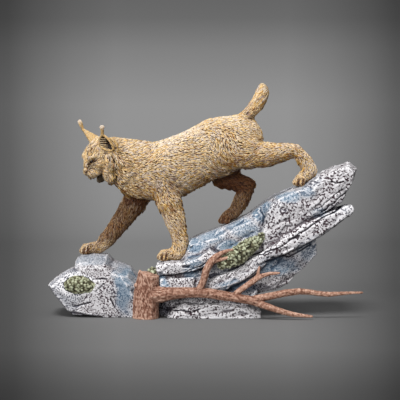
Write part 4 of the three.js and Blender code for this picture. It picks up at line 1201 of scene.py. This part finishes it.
def broken_stone(points, slope, rough):
    """How much is cut off a rock: tilted facets, bedding lines, cracks and a fine roughness."""
    layers = bedded(points, slope) + 1.5 * noise(points, 13, 61)[:, None]
    near, second, number, offset = cells(layers, (17, 13, 6.5), 62)
    lean = np.stack([np.cos(40 * number), np.sin(57 * number), np.cos(91 * number)], 1)
    facets = 0.8 * number + 0.9 * (offset * lean).sum(1) + 0.5 * smooth(0.08, 0.0, second - near)
    lines = np.abs(noise(layers, (24, 24, 2.0), 63))
    cracks = 1.7 * smooth(1.1, 0.35, crack_distance(points)) * smooth(5, -8, points[:, 1])
    grit = 0.3 * layered(points, 3.2, 2, 64)
    return rough * (facets + 0.5 * smooth(0.12, 0.0, lines) - 0.6) + grit + cracks


def rocks(lynx):
    for name in ROCKS:
        solid = Solid.of_nodes([name], ROCK_STEP, 5, 0.1)
        if name == "rock_slab":
            where, places = solid.near_places(ROCK_STEP * 4.9)
            away = np.abs(places - np.array(BLOCK[0])) - np.array(BLOCK[1]) + BLOCK_ROUNDING
            block = np.linalg.norm(np.maximum(away, 0), axis=1) + np.minimum(away.max(1), 0) - BLOCK_ROUNDING
            solid.values[where] = joined(solid.values[where], block + 0.6 * noise(places, 9, 66), 1.0)
        solid = solid.blurred(0.4)
        where, places = solid.near_places(ROCK_STEP * 3.6)
        cut = broken_stone(places, ROCK_SLOPES[name], ROCK_ROUGHNESS[name])
        # The flat base and the places under the paws stay as they are
        cut *= smooth(0.2, 3.5, places[:, 2]) * smooth(0.2, 3.4, lynx.at(places))
        if name == "rock_front":
            (x0, z0), (x1, z1) = UNDERCUT
            line = z0 + (z1 - z0) * (places[:, 0] - x0) / (x1 - x0) + 0.8 * noise(places, 6, 67)
            cut += 2.4 * smooth(0.5, -0.5, places[:, 2] - line) * (places[:, 0] < x1) * (places[:, 1] < 0)
        solid.values[where] += np.clip(cut, -0.6, 2.4)
        points, faces = solid.polygons()
        normals = solid.outward(points)
        bulge = 0.75 * solid.blurred(1.1).at(points) + 0.25 * solid.blurred(2.4).at(points)
        points[:, 2] = np.maximum(points[:, 2], 0)
        front = smooth(30, -5, points[:, 1])
        wash = 0.3 * smooth(0.1, 0.6, layered(points, 26, 2, 74) + 0.3 * normals[:, 2])
        # Painted shade under overhangs and in recesses, and on faces that look down
        painted_shade = np.maximum(front * spots(points, PAINTED_SHADE_SPOTS, 151), 0.55 * smooth(0.0, -0.7, normals[:, 2]))
        rock = piece(f"{name}_stone", points, split_faces(faces), {
            "bulge": smooth(-0.6, 0.6, bulge),
            "coarse": front * spots(points, COARSE_SPOTS, 161),
            "wash": np.maximum(wash, front * spots(points, BLUE_SPOTS, 141)),
            # Painted shade along the cracks too
            "painted_shade": np.maximum(painted_shade, 0.6 * front * smooth(1.2, 0.6, crack_distance(points))),
        })
        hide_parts(name)
        rock.data.materials.append(material(rock_paint))


# Wood

WOOD_STEP = 0.5
# The way the grain runs along each of them and the steps it is followed in
BARK = {
    "stump": ((0.0, 0.0, 1.0), 3),
    "branch_main": ((1.0, 0.0, 0.0), 5),
    "branch_long": ((1.0, 0.0, 0.1), 5),
    "branch_low": ((1.0, 0.0, -0.3), 4),
    "branch_upper": ((0.75, 0.0, 0.65), 5),
    "branch_middle": ((0.85, 0.0, 0.5), 4),
}
# The stump above the branch: its middle in X and Y, half widths, and the height and fall of its broken top
STUMP_MIDDLE = (-52.8, -31.0)
STUMP_RADII = (9.4, 11.6)
STUMP_TOP = 43.4
STUMP_SLOPE = 0.24


def deadwood():
    solid = Solid.of_nodes(WOODS, WOOD_STEP, 7, 0.2)
    where, places = solid.near_places(WOOD_STEP * 6.5)
    x, y, z = (places - np.array([*STUMP_MIDDLE, 0])).T
    at_stump = (x > -16) & (x < 11) & (z > 16)
    where, places = tuple(part[at_stump] for part in where), places[at_stump]
    x, y, z = x[at_stump], y[at_stump], z[at_stump]
    flat = places * np.array([1, 1, 0])
    top = STUMP_TOP - STUMP_SLOPE * x + 1.3 * noise(flat, 3.2, 85) + 0.9 * noise(flat, 1.5, 86)
    column = (np.hypot(x / STUMP_RADII[0], y / STUMP_RADII[1]) - 1) * min(STUMP_RADII)
    trunk = joined(solid.values[where], np.maximum(column, 18 - z), 1.0)
    solid.values[where] = np.maximum(trunk, z - top)
    solid = solid.blurred(0.4)
    trails = Trails(BARK)
    points, faces = solid.polygons()
    normals = solid.outward(points)
    wavy = points + 0.8 * noise(points, 9, 82)[:, None]
    ridge = 1 - 2 * np.abs(noise(trails.drawn_out(wavy, 4.0), 1.15, 81))
    fine = noise(trails.drawn_out(points, 3.0), 0.85, 83)
    pores = noise(points, 1.1, 84)
    on_stump = smooth(-36, -42, points[:, 0])
    depth = (0.06 + 0.28 * on_stump) * (ridge + 0.5 * fine - 0.3) + 0.1 * pores
    points = points + normals * (depth * smooth(0.1, 1.2, points[:, 2]))[:, None]
    points[:, 2] = np.maximum(points[:, 2], 0)
    wood = piece("deadwood", points, split_faces(faces), {
        "crest": smooth(-1.7, 1.9, (0.45 + 0.55 * on_stump) * ridge + 0.7 * fine + 1.1 * pores),
        "bulge": smooth(-0.5, 1.0, solid.blurred(1.6).at(points)),
    })
    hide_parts(*WOODS)
    wood.data.materials.append(material(wood_paint))


# Moss

MOSS_STEP = 0.55


def lobes(points):
    """Distances from the middles of the large and of the small lobes, and the large one's number."""
    near, _, number, _ = cells(points, (3.0, 3.0, 2.7), 91)
    return near, cells(points, 1.4, 92)[0], number


def moss():
    for name in MOSSES:
        solid = Solid.of_nodes([name], MOSS_STEP, 7, 0.3).blurred(0.6)
        where, places = solid.near_places(MOSS_STEP * 6)
        near, small, _ = lobes(places)
        solid.values[where] += 2.4 * near ** 1.6 + 0.6 * small - 1.3 + 1.6 * layered(places, 7, 2, 93)
        points, faces = solid.polygons()
        near, small, number = lobes(points)
        # Pale on the lobes and low between them, where the paint darkens as painted shade
        values = {"crest": smooth(1.15, 0.35, near + 0.5 * small), "tint": number}
        clump = piece(f"{name}_knobs", points, split_faces(faces), values)
        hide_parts(name)
        clump.data.materials.append(material(moss_paint))


# Materials

def linear(colour):
    """A colour for a socket, from screen values from 0 to 255 or from one grey from 0 to 1."""
    if isinstance(colour, (int, float)):
        return (colour, colour, colour, 1)
    values = [c / 255 for c in colour]
    return (*(c / 12.92 if c <= 0.04045 else ((c + 0.055) / 1.055) ** 2.4 for c in values), 1)


class Nodes:
    """Short calls for a material's nodes."""

    def __init__(self, tree):
        self.tree = tree

    def add(self, kind, **settings):
        node = self.tree.nodes.new(kind)
        for key, value in settings.items():
            setattr(node, key, value)
        return node

    def feed(self, socket, value):
        """Sets a socket to a number or a colour, or links another node's output to it."""
        if isinstance(value, tuple):
            socket.default_value = linear(value)
        elif isinstance(value, (int, float)):
            socket.default_value = value
        else:
            self.tree.links.new(value, socket)

    def value(self, label):
        return self.add("ShaderNodeAttribute", attribute_name=label).outputs["Fac"]

    def ramp(self, source, *stops):
        node = self.add("ShaderNodeValToRGB")
        elements = node.color_ramp.elements
        while len(elements) < len(stops):
            elements.new(0.5)
        for element, (place, colour) in zip(elements, stops):
            element.position = place
            element.color = linear(colour)
        self.feed(node.inputs["Fac"], source)
        return node.outputs["Color"]

    def math(self, operation, a, b):
        node = self.add("ShaderNodeMath", operation=operation)
        self.feed(node.inputs[0], a)
        self.feed(node.inputs[1], b)
        return node.outputs[0]

    def mix(self, share, a, b, blend="MIX"):
        node = self.add("ShaderNodeMix", data_type="RGBA", blend_type=blend)
        for number, value in ((0, share), (6, a), (7, b)):
            self.feed(node.inputs[number], value)
        return node.outputs[2]

    def times(self, a, b, share=1.0):
        """The first colour darkened by the second."""
        return self.mix(share, a, b, "MULTIPLY")

    def noise(self, scale, detail=2.0, roughness=0.5):
        node = self.add("ShaderNodeTexNoise")
        for label, value in (("Scale", scale), ("Detail", detail), ("Roughness", roughness)):
            node.inputs[label].default_value = value
        self.feed(node.inputs["Vector"], self.add("ShaderNodeTexCoord").outputs["Object"])
        return node.outputs["Fac"]

    def finish(self, colour, roughness, bump=None, depth=0.0002, specular=0.35):
        shader = self.add("ShaderNodeBsdfPrincipled")
        self.feed(shader.inputs["Base Color"], colour)
        shader.inputs["Roughness"].default_value = roughness
        shader.inputs["Specular IOR Level"].default_value = specular
        if bump is not None:
            node = self.add("ShaderNodeBump")
            node.inputs["Distance"].default_value = depth
            node.inputs["Strength"].default_value = 0.6
            self.feed(node.inputs["Height"], bump)
            self.feed(shader.inputs["Normal"], node.outputs["Normal"])
        out = self.add("ShaderNodeOutputMaterial")
        self.feed(out.inputs["Surface"], shader.outputs[0])


def material(build):
    """The material with this function's name, built when it is first asked for."""
    name = build.__name__
    if name not in bpy.data.materials:
        made = bpy.data.materials.new(name)
        made.use_nodes = True
        made.node_tree.nodes.clear()
        build(Nodes(made.node_tree))
    return bpy.data.materials[name]


def coat_paint(n):
    """Dark brown in the hollows, then ochre, tan or lilac grey, and dry-brushed cream on the crests: the dark
    is partly the paint's ground and partly painted shade, the cream partly paint and partly painted
    highlight.
    """
    paint = n.ramp(n.value("tint"), (0.0, (178, 120, 46)), (0.18, (240, 188, 68)), (0.34, (230, 188, 108)),
                   (0.5, (240, 216, 168)), (0.68, (192, 168, 156)), (0.84, (206, 184, 172)),
                   (1.0, (240, 224, 210)))
    middle = n.times(n.mix(0.5, paint, (206, 146, 70)), (176, 152, 134))
    fine = n.noise(1400, 3, 0.6)
    level = n.math("ADD", n.value("crest"), n.math("MULTIPLY", n.math("SUBTRACT", fine, 0.5), 0.7))
    # Across each lock: dark brown at its edges, a darker copy of the paint on its sides and cream on its
    # crest, partly the statuette's dry-brushed paint and partly painted shade and painted highlight
    colour = n.mix(n.ramp(level, (0.14, 0), (0.6, 1)), (46, 28, 16), middle)
    colour = n.mix(n.ramp(level, (0.52, 0), (0.85, 1)), colour, paint)
    colour = n.mix(n.ramp(level, (0.84, 0), (0.99, 0.9)), colour, n.mix(0.42, paint, (255, 246, 222)))
    # Darker where painted shade falls: inner sides of the legs, between the toes, underneath and in hollows;
    # some locks darker at random
    colour = n.mix(n.value("shade_and_tone"), colour, n.times(colour, (112, 80, 56)))
    n.finish(n.mix(n.value("dark"), colour, (40, 27, 18)), 0.6, fine, 0.00012, 0.3)


def eye_gloss(n):
    n.finish(n.ramp(n.noise(900, 2), (0.3, (24, 16, 10)), (0.7, (52, 36, 22))), 0.18, specular=0.6)


def rock_paint(n):
    """Pale stone with dark purple-brown pits, each with a white rim, and blue-grey washes, with painted shade
    in the hollows, under overhangs and along cracks, and pale edges that are partly dry-brushed paint and
    partly painted highlight.
    """
    bulge, wash = n.value("bulge"), n.value("wash")
    grain = n.mix(n.value("coarse"), n.noise(760, 1, 0.5), n.noise(480, 1, 0.5))
    grain = n.math("ADD", grain, n.math("MULTIPLY", n.math("SUBTRACT", n.noise(60, 2, 0.5), 0.5), 0.2))
    pits = n.ramp(grain, (0.4, 1), (0.47, 0))
    rims = n.ramp(grain, (0.47, 0), (0.53, 1), (0.62, 0.45))
    stone = n.mix(wash, (168, 164, 166), (120, 144, 164))
    deep = n.mix(wash, (84, 76, 82), (66, 88, 110))
    # Painted shade: the stone darker in its hollows
    colour = n.mix(n.ramp(bulge, (0.1, 0), (0.42, 1)), deep, stone)
    clear = n.math("SUBTRACT", 1.0, n.math("MULTIPLY", wash, 0.55))
    hollow = n.mix(wash, (62, 46, 52), (62, 84, 108))
    colour = n.mix(n.math("MULTIPLY", pits, clear), colour, hollow)
    rims = n.math("MULTIPLY", rims, n.ramp(bulge, (0.15, 0.1), (0.6, 0.8)))
    colour = n.mix(n.math("MULTIPLY", rims, clear), colour, (236, 234, 237))
    # Pale on the most rounded edges: partly dry-brushed paint and partly painted highlight
    edge_paint_and_highlight = n.math("MULTIPLY", n.ramp(bulge, (0.66, 0), (0.92, 1)), n.math("SUBTRACT", 0.8, pits))
    colour = n.mix(edge_paint_and_highlight, colour, (240, 238, 240))
    # Painted shadow under overhangs, on faces that look down and along cracks
    shadow = n.math("MULTIPLY", n.value("painted_shade"), n.math("SUBTRACT", 1.0, n.math("MULTIPLY", rims, 0.4)))
    colour = n.mix(shadow, colour, n.times(colour, (106, 108, 120)))
    n.finish(colour, 0.85, n.math("SUBTRACT", 1.0, pits), 0.0005, 0.2)


def wood_paint(n):
    """Reddish brown, pale on the grain's ridges and dark between them, and darker in its hollows as painted
    shade.
    """
    fine = n.noise(1200, 3, 0.6)
    colour = n.ramp(n.value("crest"), (0.0, (96, 64, 50)), (0.45, (168, 126, 106)), (1.0, (214, 180, 160)))
    # Painted shade: darker where the wood is hollow
    colour = n.times(colour, n.ramp(n.value("bulge"), (0.3, (150, 120, 108)), (0.8, 1)), 0.7)
    colour = n.times(colour, n.ramp(fine, (0.35, 0.7), (0.6, 1.1)), 0.6)
    n.finish(colour, 0.8, fine, 0.0002, 0.2)


def moss_paint(n):
    """Grey green, pale on the lobes and nearly black between them, where the dark is painted shade."""
    fine = n.noise(1500, 3, 0.6)
    colour = n.ramp(n.value("crest"), (0.14, (30, 27, 20)), (0.42, (100, 102, 78)), (0.9, (194, 200, 172)))
    colour = n.mix(n.math("MULTIPLY", n.value("tint"), 0.3), colour, (150, 142, 112))
    n.finish(colour, 0.9, fine, 0.0002, 0.15)


def backdrop_painted_light_pool(n):
    """Matt grey with a painted pool of light: lighter in the middle, darker towards the front, the sides and
    the top of the wall.
    """
    parts = n.add("ShaderNodeSeparateXYZ")
    n.feed(parts.inputs[0], n.add("ShaderNodeTexCoord").outputs["Object"])
    across, along, up = parts.outputs
    wall = n.ramp(up, (0.0, 0.2), (0.26, 0.2), (0.39, 0.15), (0.46, 0.104), (0.7, 0.06))
    floor = n.ramp(n.math("ADD", along, 0.5), (0.05, 0.4), (0.12, 0.5), (0.29, 0.9), (0.5, 1.0))
    # The painted pool of light is wider towards the wall
    width = n.math("ADD", n.math("MULTIPLY", along, 0.2), 0.24)
    side = n.ramp(n.math("DIVIDE", n.math("ABSOLUTE", across, 0.0), width),
                  (0.36, 1), (0.54, 0.82), (0.69, 0.6), (0.8, 0.39), (1, 0.25))
    n.finish(n.times(n.times(wall, floor), side), 0.9, specular=0.1)


# Stage

def backdrop():
    """A floor that bends up into a wall behind the model, in one sheet."""
    near, bend_start, bend_radius, top, half_width = -2.2, 0.9, 0.7, 2.6, 2.4
    turns = [math.radians(90 * k / 24) for k in range(25)]
    profile = [(near, 0.0)]
    profile += [(bend_start + bend_radius * math.sin(t), bend_radius * (1 - math.cos(t))) for t in turns]
    profile += [(bend_start + bend_radius, top)]
    vertices = [(side * half_width, y, z) for y, z in profile for side in (-1, 1)]
    faces = [(2 * k, 2 * k + 1, 2 * k + 3, 2 * k + 2) for k in range(len(profile) - 1)]
    mesh = bpy.data.meshes.new("backdrop")
    mesh.from_pydata(vertices, [], faces)
    mesh.polygons.foreach_set("use_smooth", np.ones(len(faces), bool))
    sheet = bpy.data.objects.new("backdrop", mesh)
    bpy.context.scene.collection.objects.link(sheet)
    sheet.data.materials.append(material(backdrop_painted_light_pool))


def studio():
    backdrop()
    aim = Vector(PHOTO_AIM * MM)
    lean = math.radians(CAMERA_ELEVATION)
    back = Vector((0, -math.cos(lean), math.sin(lean)))
    camera = bpy.data.objects.new("camera", bpy.data.cameras.new("camera"))
    bpy.context.scene.collection.objects.link(camera)
    camera.location = aim + back * CAMERA_DISTANCE * MM
    camera.rotation_euler = (-back).to_track_quat("-Z", "Y").to_euler()
    camera.data.lens = CAMERA_LENS
    camera.data.sensor_width = 36
    camera.data.clip_start = 0.05
    bpy.context.scene.camera = camera
    for name, direction, spread, power in SUNS:
        lamp = bpy.data.lights.new(name, "SUN")
        lamp.angle = math.radians(spread)
        lamp.energy = power
        obj = bpy.data.objects.new(name, lamp)
        bpy.context.scene.collection.objects.link(obj)
        obj.rotation_euler = Vector(direction).to_track_quat("Z", "Y").to_euler()
    world = bpy.data.worlds.new("studio")
    bpy.context.scene.world = world
    world.use_nodes = True
    world.node_tree.nodes["Background"].inputs[0].default_value = (1, 1, 1, 1)
    world.node_tree.nodes["Background"].inputs[1].default_value = SKY_POWER
    bpy.context.scene.view_settings.view_transform = "Standard"


studio()
lie = Lie(COAT)
skin = Skin(lie)
skin_piece(skin, lie)
coat(skin, lie)
ears(lie)
eyes()
rocks(skin)
deadwood()
moss()
